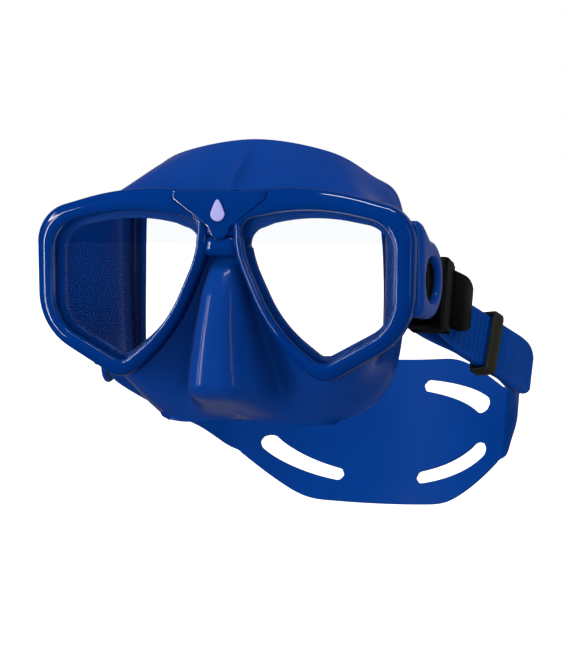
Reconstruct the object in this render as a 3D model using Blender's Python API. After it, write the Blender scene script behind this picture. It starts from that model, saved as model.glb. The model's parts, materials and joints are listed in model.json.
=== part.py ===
"""Twin-lens low-volume diving mask with a silicone head strap, built as separate moving pieces.

Frame: metres, +Z up. The mask faces -Y, and +X is the wearer's left. The origin is in the middle
of the face opening, where the skirt seals on the face. The two sides mirror each other in X = 0.
"""

import math

import bmesh
import bpy
import numpy as np

# ---------------------------------------------------------------- driving dimensions (metres)
FACE_Y = -0.050            # front plane of the lens rims
GAP = 0.0004               # gap between pieces that touch
ARC_STEPS = 4              # facets on each rounded corner of a lens outline
SIDE_STEPS = 2             # facets on each side between two corners

# Lens rims: outline corners (x, z) and their radii, from the inner top corner down the nose side.
OPENING = [(0.0088, 0.0290, 0.006), (0.0112, 0.0130, 0.040), (0.0240, -0.0150, 0.060),
           (0.0437, -0.0300, 0.007), (0.0742, -0.0135, 0.018), (0.0745, 0.0270, 0.013),
           (0.0400, 0.0345, 0.090)]
OUTER = [(0.0048, 0.0414, 0.003), (0.0056, 0.0165, 0.030), (0.0205, -0.0190, 0.080),
         (0.0440, -0.0382, 0.011), (0.0818, -0.0165, 0.027), (0.0828, 0.0322, 0.016),
         (0.0440, 0.0427, 0.120)]
RIM_DEPTH = 0.0074
BEZEL_REAR = 0.0040
LENS_FRONT = 0.0043
LENS_REAR = 0.0073
LENS_EDGE = 0.42           # lens edge, as a share of the way across the rim
WALL_START = 0.78          # inner face of the rim's side wall, as the same share

# Skirt: one moulding with two lens seats, a nose pocket, a sealing lip and two side ears.
SKIRT_WALL = 0.0020
FLANGE_Y = 0.0077          # front face of the lens seats, behind the front plane
SEAT_LIP = -0.35           # inner edge of a lens seat, as a share across the rim
SEAT_EDGE = 0.40           # outer edge of a lens seat
SHELL_ROWS = 9
# Where the shell ends, once round a lens: (x, z, depth, radial lead, depth lag, waist, lip reach).
SHELL_EDGE = [(0.0, 0.0400, None, 1.0, 1.0, 0.0, 0.8), (0.0, 0.0250, None, 1.0, 1.0, 0.0, 0.8),
              (0.0, 0.0090, None, 1.0, 1.0, 0.0, 0.8), (0.0, -0.0090, None, 1.0, 1.0, 0.0, 0.8),
              (0.0, -0.0300, None, 1.0, 1.0, 0.0, 0.8), (0.0, -0.0548, 0.031, 1.0, 1.0, 0.0, 0.05),
              (0.0320, -0.0568, 0.036, 1.2, 1.1, 0.0, 0.05), (0.0510, -0.0490, 0.046, 1.2, 1.0, 0.001, 0.35),
              (0.0598, -0.0328, 0.053, 1.3, 0.9, 0.005, 0.75), (0.0630, 0.0055, 0.057, 1.3, 0.9, 0.0062, 1.0),
              (0.0605, 0.0372, 0.054, 1.3, 0.9, 0.005, 1.0), (0.0505, 0.0475, 0.047, 1.2, 1.0, 0.001, 0.9),
              (0.0330, 0.0575, 0.042, 1.2, 1.15, 0.0, 0.8), (0.0, 0.0628, 0.042, 1.2, 1.15, 0.0, 0.8)]
WAIST_CENTRE = (0.0300, 0.0050)     # the waist draws the side wall in towards this point
SEAM_BOTTOM = 5            # entries of SHELL_EDGE on the middle line at the lip and the forehead
SEAM_TOP = 13
BRIDGE_Z = 0.0135
BASE_BOTTOM = 0.031        # depth of the shell at the bottom of the middle line, without the nose
# Nose pocket on the middle line: height, depth of its front, half width at its foot.
NOSE = [(0.0135, 0.0077, 0.0062), (0.0080, 0.0020, 0.0082), (0.0, -0.0030, 0.0108),
        (-0.0150, -0.0075, 0.0145), (-0.0300, -0.0104, 0.0180), (-0.0402, -0.0112, 0.0200),
        (-0.0425, -0.0085, 0.0204), (-0.0486, 0.0120, 0.0235), (-0.0548, 0.0310, 0.0270)]
NOSE_POWER = 3.2
NOSE_BLEND = 0.0035
LIP = [(0.0030, 0.0008), (0.0062, -0.0010), (0.0090, -0.0045)]   # inward, rearward
LIP_TRAIL = 0.0016         # how far each row runs straight back where the lip doesn't turn inwards

# Side ears and the axis that the buckles swing on.
AXIS_Y = FACE_Y + 0.025
AXIS_Z = 0.0048
EAR_IN = 0.0785
EAR_OUT = 0.0840
EAR_R = 0.0160
EAR_HOLE_R = 0.0092
EAR_ROOT_IN = 0.0732
EAR_ROOT_DEPTH = 0.0050
EAR_NECK = 0.0120

# Bridge.
LINK_REAR = 0.0070
LINK_FRONT = 0.0008
LINK_TOP = 0.0412
LINK_BOTTOM = 0.0172
CLIP_TOP_HALF = 0.0205
CLIP_TOP = 0.0396
CLIP_SHOULDER = 0.0378
CLIP_TIP_HALF = 0.0046
CLIP_TIP = 0.0243
CLIP_REAR = 0.0015
CLIP_FRONT = -0.0006
BADGE_HALF = 0.0031
BADGE_LOW = 0.0285
BADGE_HIGH = 0.0374

# Strap parts, drawn level and then swung down about the ear axis. X is sideways, Y back from it.
DROOP = math.radians(17.0)
ROLLER_X = 0.0700
ROLLER_Y = 0.0260
ROLLER_R = 0.0030
ROLLER_HALF = 0.0122
ROLLER_PIN_R = 0.0012
WRAP_R = ROLLER_R + 0.00145
BAND_THICK = 0.0022
PAD_THICK = 0.0018
TAIL_THICK = 0.0024
TAIL_HALF = 0.0113
HUB_R = 0.0106
HUB_IN = 0.0748
HUB_OUT = 0.0780
WEB_HALF = 0.0100
BOSS_R = 0.0086
BOSS_OUT = 0.0800
CAP_OUT = 0.0818
CHEEK_IN = 0.0126
CHEEK_OUT = 0.0146
FRAME_IN = 0.0675
FRAME_OUT = 0.0840
FRAME_FRONT = 0.0168
FRAME_WALL = 0.0194
FRAME_REAR = 0.0318
COVER_IN = 0.0812
COVER_REAR = 0.0264
PIN_X = 0.0826
PIN_Y = 0.0295
PIN_R = 0.0012
LEVER_HALF = 0.0118
# The strap's middle line from its tail end, round the roller and back to the pad: x, y, z, half width.
TAIL_PATH = [(0.0998, 0.1060, -0.0144, 0.0095), (0.0993, 0.1000, -0.0137, 0.0118),
             (0.0976, 0.0910, -0.0126, 0.0120), (0.0948, 0.0821, -0.0111, 0.0114)]
STRAIGHT_START = (0.0802, 0.0507, -0.0066)
STRAIGHT_END = (0.0924, 0.0830, -0.0111)
TAIL_OFFSET = 0.0027
TAIL_FRONT = [(0.0790, 0.0410, -0.0036, 0.0113), (0.0762, 0.0330, -0.0010, 0.0113)]
MAIN_FRONT = [(0.0660, 0.0325, -0.0006, 0.0113), (0.0695, 0.0385, -0.0026, 0.0115),
              (0.0745, 0.0440, -0.0046, 0.0115)]
MAIN_REAR = [(0.0938, 0.0940, -0.0125, 0.0118), (0.0928, 0.1070, -0.0135, 0.0122),
             (0.0880, 0.1300, -0.0152, 0.0128), (0.0822, 0.1500, -0.0166, 0.0133),
             (0.0765, 0.1670, -0.0178, 0.0138)]
PAD_Y = 0.2160
PAD_END = 0.0700
PAD_END_Y = 0.1848
PAD_FLAT = 0.0340
PAD_HALF = 0.0365
PAD_END_HALF = 0.0145
PAD_TAPER = 1.3            # above 1, the pad's taper starts slowly
PAD_DROP = -0.0200
SLOT_A = 0.0600
SLOT_B = 0.0246
SLOT_FROM = math.radians(20.0)
SLOT_TO = math.radians(72.0)
SLOT_WIDE = 0.0092
SLOT_NARROW = 0.0060
KEEPER_AT = 0.0700
KEEPER_LENGTH = 0.0070
KEEPER_IN = -0.0018        # across the two bands, from the main band's middle
KEEPER_OUT = 0.0047
KEEPER_HALF = 0.0120
KEEPER_WALL = 0.0017

# Finishes: colour, roughness, metallic, transmission.
FINISHES = {
    "silicone_blue": ((0.002, 0.016, 0.180), 0.34, 0.0, 0.0),
    "frame_blue": ((0.002, 0.022, 0.230), 0.16, 0.0, 0.0),
    "lens_glass": ((0.900, 0.960, 1.000), 0.02, 0.0, 1.0),
    "badge_lavender": ((0.320, 0.320, 0.680), 0.30, 0.0, 0.0),
    "buckle_black": ((0.006, 0.006, 0.007), 0.35, 0.0, 0.0),
    "keeper_black": ((0.018, 0.018, 0.014), 0.42, 0.0, 0.0),
    "pin_steel": ((0.550, 0.550, 0.560), 0.30, 1.0, 0.0),
}


# ---------------------------------------------------------------- scene and mesh helpers
def clear_scene():
    """Remove every object, so that the model starts from nothing."""
    for item in list(bpy.data.objects):
        bpy.data.objects.remove(item, do_unlink=True)


def finish(name):
    """Return the material of that name, made once from its row in FINISHES."""
    found = bpy.data.materials.get(name)
    if found is not None:
        return found
    colour, roughness, metallic, transmission = FINISHES[name]
    made = bpy.data.materials.new(name)
    made.use_nodes = True
    shader = made.node_tree.nodes["Principled BSDF"]
    shader.inputs["Base Color"].default_value = (*colour, 1.0)
    shader.inputs["Roughness"].default_value = roughness
    shader.inputs["Metallic"].default_value = metallic
    shader.inputs["Transmission Weight"].default_value = transmission
    return made


def add_mesh(name, points, faces, slot, parent=None, closed=True):
    """Make an object from points and faces, with its normals outwards when it is a closed solid."""
    mesh = bpy.data.meshes.new(name)
    mesh.from_pydata([tuple(point) for point in np.asarray(points, dtype=float)], [], faces)
    if closed:
        work = bmesh.new()
        work.from_mesh(mesh)
        bmesh.ops.recalc_face_normals(work, faces=work.faces)
        work.to_mesh(mesh)
        work.free()
    mesh.shade_smooth()
    mesh.set_sharp_from_angle(angle=math.radians(35.0))
    mesh.materials.append(finish(slot))
    made = bpy.data.objects.new(name, mesh)
    bpy.context.scene.collection.objects.link(made)
    made.parent = parent
    return made


def prism(outline, low, high, axis):
    """Points and faces of a flat outline drawn out from low to high along axis X, Y or Z."""
    flat = np.asarray(outline, dtype=float)
    count = len(flat)
    points = np.zeros((2 * count, 3))
    others = [index for index in range(3) if index != axis]
    for layer, level in enumerate((low, high)):
        rows = slice(layer * count, (layer + 1) * count)
        points[rows, others[0]] = flat[:, 0]
        points[rows, others[1]] = flat[:, 1]
        points[rows, axis] = level
    faces = [tuple(range(count)), tuple(range(2 * count - 1, count - 1, -1))]
    for here in range(count):
        after = (here + 1) % count
        faces.append((here, after, count + after, count + here))
    return points, faces


def ring_faces(rings, around, closed):
    """Quads between rings of `around` points; the last ring meets the first when closed."""
    faces = []
    for ring in range(rings if closed else rings - 1):
        base = ring * around
        above = ((ring + 1) % rings) * around
        for here in range(around):
            after = (here + 1) % around
            faces.append((base + here, base + after, above + after, above + here))
    return faces


def circle(radius, count, centre=(0.0, 0.0)):
    """Points of a circle in the plane."""
    turn = np.arange(count) * (2.0 * math.pi / count)
    return np.stack([centre[0] + radius * np.cos(turn), centre[1] + radius * np.sin(turn)], axis=1)


def combine(target, operand, operation):
    """Join or cut target with a guide object, which the model keeps only as an outline."""
    operand.hide_render = True
    operand.display_type = "WIRE"
    step = target.modifiers.new(operation.lower(), "BOOLEAN")
    step.operation = operation
    step.solver = "EXACT"
    step.object = operand


# ---------------------------------------------------------------- lens outlines
def rounded(corners):
    """An outline with an arc at each corner (x, z, radius), the same number of points for each."""
    points = []
    count = len(corners)
    for index in range(count):
        here = np.array(corners[index][:2])
        before = np.array(corners[index - 1][:2]) - here
        after = np.array(corners[(index + 1) % count][:2]) - here
        before /= np.linalg.norm(before)
        after /= np.linalg.norm(after)
        half = 0.5 * math.acos(float(np.clip(before @ after, -1.0, 1.0)))
        radius = corners[index][2]
        middle = here + (before + after) / np.linalg.norm(before + after) * radius / math.sin(half)
        start = here + before * radius / math.tan(half) - middle
        turn = math.pi - 2.0 * half
        if start[0] * after[1] - start[1] * after[0] < 0.0:
            turn = -turn
        for step in range(ARC_STEPS + 1):
            angle = turn * step / ARC_STEPS
            cosine, sine = math.cos(angle), math.sin(angle)
            points.append(middle + (start[0] * cosine - start[1] * sine,
                                    start[0] * sine + start[1] * cosine))
    arcs = np.array(points).reshape(count, ARC_STEPS + 1, 2)
    loop = []
    for index in range(count):
        loop.extend(arcs[index])
        for step in range(1, SIDE_STEPS):
            share = step / SIDE_STEPS
            loop.append(arcs[index][-1] * (1.0 - share) + arcs[(index + 1) % count][0] * share)
    return np.roll(np.array(loop), -(ARC_STEPS // 2), axis=0)


def across_rim(share):
    """Outline at a share of the way from the lens opening (0) to the rim's outer edge (1)."""
    return rounded(OPENING) * (1.0 - share) + rounded(OUTER) * share


def rim_seat_outline(grow):
    """Outline of the bridge clip, a shield with a rounded tip, grown by a small gap."""
    tip = circle(CLIP_TIP_HALF + grow, 12, (0.0, CLIP_TIP + 0.0016))[6:]
    tip = np.concatenate([tip, [[CLIP_TIP_HALF + grow, CLIP_TIP + 0.0016]]])
    right = [(CLIP_TOP_HALF + grow, CLIP_SHOULDER - grow), (CLIP_TOP_HALF + grow, CLIP_TOP + grow)]
    left = [(-x, z) for x, z in reversed(right)]
    return np.concatenate([tip, right, left])


def make_rim(name, side):
    """One lens rim: a stepped bezel in front and a side wall that the lens sits inside."""
    section = [(0.0, BEZEL_REAR), (0.0, 0.0016), (0.14, 0.0004), (0.30, 0.0), (0.42, 0.0008),
               (0.62, 0.0006), (0.86, 0.0014), (1.0, 0.0034), (1.0, RIM_DEPTH),
               (WALL_START, RIM_DEPTH), (WALL_START, BEZEL_REAR)]
    inner, outer = rounded(OPENING), rounded(OUTER)
    rings = np.zeros((len(inner), len(section), 3))
    for index, (share, depth) in enumerate(section):
        flat = inner * (1.0 - share) + outer * share
        rings[:, index, 0] = flat[:, 0] * side
        rings[:, index, 1] = FACE_Y + depth
        rings[:, index, 2] = flat[:, 1]
    faces = ring_faces(len(inner), len(section), closed=True)
    rim = add_mesh(name, rings.reshape(-1, 3), faces, "frame_blue")
    cutter = prism(rim_seat_outline(GAP), FACE_Y - 0.004, FACE_Y + CLIP_REAR + GAP, axis=1)
    combine(rim, add_mesh(name + "_seat_guide", *cutter, "frame_blue"), "DIFFERENCE")


def make_lens(name, side):
    """One flat tempered lens, held by the rim's bezel in front and the skirt behind."""
    outline = across_rim(LENS_EDGE) * (side, 1.0)
    solid = prism(outline, FACE_Y + LENS_FRONT, FACE_Y + LENS_REAR, axis=1)
    add_mesh(name, *solid, "lens_glass")


# ---------------------------------------------------------------- bridge
def make_bridge():
    """The link that joins the two rims, the clip that covers it and the plain badge on the clip."""
    outline = rounded(OUTER)
    nose_side = [point for point in outline if point[0] < 0.0150 and LINK_BOTTOM < point[1] < LINK_TOP]
    nose_side.sort(key=lambda point: point[1])
    right = [(point[0] - GAP, point[1]) for point in nose_side]
    right.insert(0, (np.interp(LINK_BOTTOM, [p[1] for p in right], [p[0] for p in right]), LINK_BOTTOM))
    right = [point for point in right if point[0] < 0.0080]
    right.append((right[-1][0], LINK_TOP))
    left = [(-x, z) for x, z in reversed(right)]
    link = add_mesh("bridge_link", *prism(right + left, FACE_Y + LINK_FRONT, FACE_Y + LINK_REAR, axis=1),
                    "frame_blue")
    cutter = prism(rim_seat_outline(GAP), FACE_Y - 0.004, FACE_Y + CLIP_REAR + GAP, axis=1)
    combine(link, add_mesh("bridge_link_seat_guide", *cutter, "frame_blue"), "DIFFERENCE")
    clip = prism(rim_seat_outline(0.0), FACE_Y + CLIP_FRONT, FACE_Y + CLIP_REAR, axis=1)
    add_mesh("bridge_clip", *clip, "frame_blue")
    middle = BADGE_LOW + BADGE_HALF
    drop = circle(BADGE_HALF, 16, (0.0, middle))
    tip = drop[:, 1] > middle
    drop[tip, 1] = middle + (drop[tip, 1] - middle) * (BADGE_HIGH - middle) / BADGE_HALF
    badge = prism(drop, FACE_Y + CLIP_FRONT - 2.0 * GAP, FACE_Y + CLIP_FRONT - GAP, axis=1)
    add_mesh("bridge_badge", *badge, "badge_lavender")


# ---------------------------------------------------------------- skirt
def spline(points, steps, before, after):
    """Smooth curve through points (Catmull-Rom), with a phantom point past each end."""
    chain = np.array([before, *points, after], dtype=float)
    share = (np.arange(steps) / steps)[:, None]
    parts = []
    for index in range(1, len(chain) - 2):
        a, b, c, d = chain[index - 1:index + 3]
        parts.append(0.5 * (2.0 * b + (c - a) * share + (2.0 * a - 5.0 * b + 4.0 * c - d) * share ** 2
                            + (3.0 * b - 3.0 * c + d - a) * share ** 3))
    parts.append(chain[-2][None, :])
    return np.concatenate(parts)


def middle_depth(z):
    """Depth of the shell on the middle line, without the nose pocket: flat behind the bridge."""
    top_z, top_depth = SHELL_EDGE[SEAM_TOP][1:3]
    flat_z = SHELL_EDGE[0][1]
    above = np.clip((z - flat_z) / (top_z - flat_z), 0.0, 1.0)
    below = np.clip((BRIDGE_Z - z) / (BRIDGE_Z - SHELL_EDGE[SEAM_BOTTOM][1]), 0.0, 1.0)
    return FLANGE_Y + (top_depth - FLANGE_Y) * above ** 1.2 + (BASE_BOTTOM - FLANGE_Y) * below ** 1.3


def shell_edge():
    """Where each spoke of the shell ends: x, z, depth, radial lead, depth lag, waist and lip reach."""
    steps = (ARC_STEPS + SIDE_STEPS) // 2
    rows = [list(row) for row in SHELL_EDGE]
    for row in rows:
        if row[2] is None:
            row[2] = float(middle_depth(row[1]))
    flip = np.array([-1.0, *np.ones(len(SHELL_EDGE[0]) - 1)])
    rear = np.array(rows[SEAM_BOTTOM:SEAM_TOP + 1])
    rear_edge = spline(rear, steps, rear[1] * flip, rear[-2] * flip)
    seam = [rows[SEAM_TOP], *rows[:SEAM_BOTTOM + 1]]
    line = np.concatenate([np.linspace(a, b, steps, endpoint=False) for a, b in zip(seam, seam[1:])])
    line[:, 2] = middle_depth(line[:, 1])
    return np.concatenate([line[steps:], rear_edge, line[1:steps]])


def nose_depth(x, z, base):
    """Depth of the shell with the nose pocket blended in: flat in front, steep at its sides."""
    height, front, half = (np.array(column)[::-1] for column in zip(*NOSE))
    nose_front = np.interp(z, height, front)
    foot = middle_depth(z) + 0.001
    wall = nose_front + (foot - nose_front) * (np.abs(x) / np.interp(z, height, half)) ** NOSE_POWER
    wall = np.where(z > BRIDGE_Z, 1.0, wall)
    mix = np.clip(0.5 + 0.5 * (base - wall) / NOSE_BLEND, 0.0, 1.0)
    return base * (1.0 - mix) + wall * mix - NOSE_BLEND * mix * (1.0 - mix)


def half_shell():
    """Grid of the shell round one lens, from the seat's inner edge out to the middle line and lip."""
    edge = shell_edge()
    rows = []
    for share in (SEAT_LIP, 0.1, SEAT_EDGE):
        flat = across_rim(share)
        rows.append(np.stack([flat[:, 0], np.full(len(flat), FLANGE_Y), flat[:, 1]], axis=1))
    seat = rows[-1]
    inward = np.array(WAIST_CENTRE) - seat[:, [0, 2]]
    inward /= np.linalg.norm(inward, axis=1)[:, None]
    for row in range(1, SHELL_ROWS + 1):
        share = row / SHELL_ROWS
        out = 1.0 - (1.0 - share) ** edge[:, 3]
        back = share ** edge[:, 4]
        waist = edge[:, 5] * math.sin(math.pi * share) ** 2
        x = seat[:, 0] * (1.0 - out) + edge[:, 0] * out + inward[:, 0] * waist
        z = seat[:, 2] * (1.0 - out) + edge[:, 1] * out + inward[:, 1] * waist
        base = seat[:, 1] * (1.0 - back) + edge[:, 2] * back
        rows.append(np.stack([x, nose_depth(x, z, base), z], axis=1))
    return np.array(rows)


def lip_rows(contour, share):
    """Rows of the sealing lip, which turns inwards from the shell's rear edge by a share of LIP."""
    along = np.gradient(contour[:, [0, 2]], axis=0)
    along[[0, -1], 1] = 0.0
    inward = np.stack([-along[:, 1], along[:, 0]], axis=1)
    inward /= np.linalg.norm(inward, axis=1)[:, None]
    rows = []
    for index, (reach, rearward) in enumerate(LIP):
        row = contour.copy()
        row[:, [0, 2]] += inward * reach * share[:, None]
        row[:, 1] += rearward * share + (index + 1) * LIP_TRAIL * (1.0 - share)
        row[[0, -1], 0] = 0.0
        rows.append(row)
    return rows


def make_skirt():
    """The silicone skirt: both half shells, the lip, its wall thickness and the two ears."""
    steps = (ARC_STEPS + SIDE_STEPS) // 2
    shell = half_shell()
    count = shell.shape[1]
    rear = slice(SEAM_BOTTOM * steps, SEAM_TOP * steps + 1)
    contour = shell[-1, rear]
    lip = [contour, *lip_rows(contour, shell_edge()[rear, 6])]
    points = [shell.reshape(-1, 3), np.array(lip).reshape(-1, 3)]
    faces = ring_faces(len(shell), count, closed=False)
    base, width = shell.shape[0] * count, len(contour)
    for row in range(len(lip) - 1):
        for here in range(width - 1):
            low = base + row * width + here
            faces.append((low, low + 1, low + width + 1, low + width))
    half = np.concatenate(points) + (0.0, FACE_Y, 0.0)
    other = half * (-1.0, 1.0, 1.0)
    mirrored = [tuple(len(half) + corner for corner in face) for face in faces]
    outward = [face[::-1] for face in faces]
    skirt = add_mesh("skirt", np.concatenate([half, other]), outward + mirrored, "silicone_blue", closed=False)
    work = bmesh.new()
    work.from_mesh(skirt.data)
    bmesh.ops.remove_doubles(work, verts=work.verts, dist=0.00002)
    work.to_mesh(skirt.data)
    work.free()
    wall = skirt.modifiers.new("wall", "SOLIDIFY")
    wall.thickness = SKIRT_WALL
    wall.offset = -1.0
    for side in (1.0, -1.0):
        add_ear(skirt, side)


def add_ear(skirt, side):
    """Join one ear to the skirt: a thick eye on a root behind the rim, with the buckle's hole."""
    turn = np.radians(np.linspace(-130.0, 130.0, 21))
    eye = np.stack([AXIS_Y + EAR_R * np.cos(turn), AXIS_Z + EAR_R * np.sin(turn)], axis=1)
    front = FACE_Y + FLANGE_Y + GAP
    outline = [*eye, (front, AXIS_Z + EAR_NECK), (front, AXIS_Z - EAR_NECK)]
    name = "ear_left" if side > 0.0 else "ear_right"
    low, high = sorted((EAR_IN * side, EAR_OUT * side))
    ear = add_mesh(name + "_guide", *prism(outline, low, high, axis=0), "silicone_blue")
    root = [(front, AXIS_Z - EAR_NECK), (front + EAR_ROOT_DEPTH, AXIS_Z - EAR_NECK),
            (front + EAR_ROOT_DEPTH, AXIS_Z + EAR_NECK), (front, AXIS_Z + EAR_NECK)]
    low, high = sorted((EAR_ROOT_IN * side, (EAR_IN + 0.004) * side))
    foot = add_mesh(name + "_root_guide", *prism(root, low, high, axis=0), "silicone_blue")
    hole = prism(circle(EAR_HOLE_R, 24, (AXIS_Y, AXIS_Z)), *sorted(((EAR_IN - 0.002) * side, 0.09 * side)),
                 axis=0)
    bore = add_mesh(name + "_hole_guide", *hole, "silicone_blue")
    combine(ear, foot, "UNION")
    combine(ear, bore, "DIFFERENCE")
    combine(skirt, ear, "UNION")


# ---------------------------------------------------------------- buckles
def make_buckle(side, label, swing):
    """One swivel buckle: frame, cap, roller, release lever and its pin."""
    box = [(FRAME_IN, FRAME_FRONT), (FRAME_OUT, FRAME_FRONT), (FRAME_OUT, COVER_REAR),
           (FRAME_OUT - 0.0008, FRAME_REAR), (FRAME_IN, FRAME_REAR)]
    body = add_mesh("buckle_body_" + label, *sided(prism(box, -CHEEK_OUT, CHEEK_OUT, axis=2), side),
                    "buckle_black", swing)
    window = [(FRAME_IN - 0.002, FRAME_WALL), (COVER_IN, FRAME_WALL), (COVER_IN, COVER_REAR),
              (FRAME_OUT + 0.002, COVER_REAR), (FRAME_OUT + 0.002, FRAME_REAR + 0.002),
              (FRAME_IN - 0.002, FRAME_REAR + 0.002)]
    guides = [
        ("hub", prism(circle(HUB_R, 24), HUB_IN, HUB_OUT, axis=0), "UNION"),
        ("web", prism([(0.0, -WEB_HALF), (FRAME_FRONT + 0.001, -WEB_HALF),
                       (FRAME_FRONT + 0.001, WEB_HALF), (0.0, WEB_HALF)],
                      HUB_IN + GAP, HUB_OUT - GAP, axis=0), "UNION"),
        ("boss", prism(circle(BOSS_R, 24), HUB_OUT - 0.001, BOSS_OUT, axis=0), "UNION"),
        ("window", prism(window, -CHEEK_IN, CHEEK_IN, axis=2), "DIFFERENCE"),
        ("roller_bore", prism(circle(ROLLER_PIN_R + GAP, 12, (ROLLER_X, ROLLER_Y)), -0.02, 0.02, axis=2),
         "DIFFERENCE"),
        ("pin_bore", prism(circle(PIN_R + GAP, 12, (PIN_X, PIN_Y)), -0.02, 0.02, axis=2), "DIFFERENCE"),
    ]
    for part, solid, operation in guides:
        guide = add_mesh(f"buckle_{part}_{label}_guide", *sided(solid, side), "buckle_black", swing)
        combine(body, guide, operation)
    cap = prism(circle(BOSS_R - 0.0004, 24), BOSS_OUT + GAP, CAP_OUT, axis=0)
    add_mesh("swivel_cap_" + label, *sided(cap, side), "buckle_black", swing)
    make_roller(side, label, swing)
    make_lever(side, label, swing)


def sided(solid, side):
    """Mirror a solid's points to the wearer's left (+1) or right (-1)."""
    points, faces = solid
    return points * (side, 1.0, 1.0), faces


def make_roller(side, label, swing):
    """The roller that the strap turns on, with a pin at each end; its origin is on its axis."""
    profile = [(ROLLER_PIN_R, CHEEK_OUT - GAP), (ROLLER_PIN_R, ROLLER_HALF), (ROLLER_R, ROLLER_HALF),
               (ROLLER_R, -ROLLER_HALF), (ROLLER_PIN_R, -ROLLER_HALF), (ROLLER_PIN_R, GAP - CHEEK_OUT)]
    around = 20
    unit = circle(1.0, around)
    rings = np.array([np.column_stack([unit * radius, np.full(around, z)]) for radius, z in profile])
    faces = ring_faces(len(profile), around, closed=False)
    last = (len(profile) - 1) * around
    faces += [tuple(range(around)), tuple(range(last, last + around))]
    roller = add_mesh("strap_roller_" + label, rings.reshape(-1, 3), faces, "buckle_black", swing)
    roller.location = (ROLLER_X * side, ROLLER_Y, 0.0)


def make_lever(side, label, swing):
    """The release lever with its rear wing and its pawl, and the steel pin it turns on."""
    outline = [(-0.0026, -0.0012), (-0.0006, -0.0024), (0.0014, -0.0022), (0.0024, 0.0002),
               (0.0046, 0.0080), (0.0056, 0.0165), (0.0042, 0.0176), (0.0030, 0.0120),
               (0.0014, 0.0050), (-0.0018, 0.0030), (-0.0034, 0.0022)]
    lever = add_mesh("release_lever_" + label,
                     *sided(prism(outline, -LEVER_HALF, LEVER_HALF, axis=2), side), "buckle_black", swing)
    bore = add_mesh(f"lever_bore_{label}_guide", *prism(circle(PIN_R + GAP, 12), -0.02, 0.02, axis=2),
                    "buckle_black", swing)
    pin = add_mesh("lever_pin_" + label,
                   *prism(circle(PIN_R, 12), GAP - CHEEK_OUT, CHEEK_OUT - GAP, axis=2), "pin_steel", swing)
    combine(lever, bore, "DIFFERENCE")
    for piece in (lever, bore, pin):
        piece.location = (PIN_X * side, PIN_Y, 0.0)


# ---------------------------------------------------------------- strap
def straight_run():
    """Start, direction and sideways normal of the straight stretch that the keeper slides on."""
    start, end = np.array(STRAIGHT_START), np.array(STRAIGHT_END)
    along = (end - start) / np.linalg.norm(end - start)
    normal = np.array([along[1], -along[0], 0.0])
    return start, end, along, normal / np.linalg.norm(normal)


def strap_path():
    """Middle line of half the strap (x, y, z, half width, thickness), from tail end to pad."""
    start, end, _, normal = straight_run()
    run = [np.append(start + (end - start) * share, 0.0113) for share in (0.0, 0.2, 0.4, 0.6, 0.8, 1.0)]
    tail_run = [point + np.append(normal * TAIL_OFFSET, 0.0) for point in reversed(run)]
    turns = np.radians([10.0, -30.0, -70.0, -110.0, -150.0, -185.0])
    wrap = [(ROLLER_X + WRAP_R * math.cos(turn), ROLLER_Y + WRAP_R * math.sin(turn), 0.0, TAIL_HALF)
            for turn in turns]
    pad = [(x, pad_y(x), PAD_DROP, pad_half(x)) for x in np.linspace(PAD_END, 0.0, 16)]
    tail = [*TAIL_PATH, *tail_run[1:], *TAIL_FRONT]
    main = [*MAIN_FRONT, *run, *MAIN_REAR]
    thick = [TAIL_THICK] * len(tail) + [BAND_THICK] * (len(wrap) + len(main)) + [PAD_THICK] * len(pad)
    path = np.array([tuple(point) for point in [*tail, *wrap, *main, *pad]])
    return np.column_stack([path, thick])


def pad_y(x):
    """Distance of the pad's middle line behind the axis: a shallow ellipse round the head."""
    drop = (PAD_Y - PAD_END_Y) / (1.0 - math.sqrt(1.0 - (PAD_END / 0.0965) ** 2))
    return PAD_Y - drop * (1.0 - math.sqrt(1.0 - (x / 0.0965) ** 2))


def pad_half(x):
    """Half height of the pad: even in the middle, then curved tapers down to the arms."""
    share = min(max((abs(x) - PAD_FLAT) / (PAD_END - PAD_FLAT), 0.0), 1.0)
    return PAD_HALF + (PAD_END_HALF - PAD_HALF) * share ** PAD_TAPER


def make_strap(swing):
    """The whole strap as one moulding: tails, arms and the head pad with its four slots."""
    half = strap_path()
    mirrored = half[:-1][::-1] * (-1.0, 1.0, 1.0, 1.0, 1.0)
    path = np.concatenate([half, mirrored])
    middle = path[:, :3]
    along = np.gradient(middle, axis=0)
    along /= np.linalg.norm(along, axis=1)[:, None]
    up = np.array([0.0, 0.0, 1.0]) - along * along[:, 2:3]
    up /= np.linalg.norm(up, axis=1)[:, None]
    out = np.cross(along, up)
    high, thick = up * path[:, 3:4], out * path[:, 4:5] * 0.5
    rings = np.stack([middle + high + thick, middle + high - thick, middle + thick * -1.0,
                      middle - high - thick, middle - high + thick, middle + thick], axis=1)
    count = len(rings)
    faces = ring_faces(count, 6, closed=False)
    faces += [tuple(range(6)), tuple(range((count - 1) * 6, count * 6))]
    strap = add_mesh("strap", rings.reshape(-1, 3), faces, "silicone_blue", swing)
    for index, (side, rise) in enumerate(((1.0, 1.0), (1.0, -1.0), (-1.0, 1.0), (-1.0, -1.0))):
        slot = prism(slot_outline(side, rise), PAD_END_Y - 0.02, PAD_Y + 0.02, axis=1)
        combine(strap, add_mesh(f"strap_slot_{index}_guide", *slot, "silicone_blue", swing), "DIFFERENCE")


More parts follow.
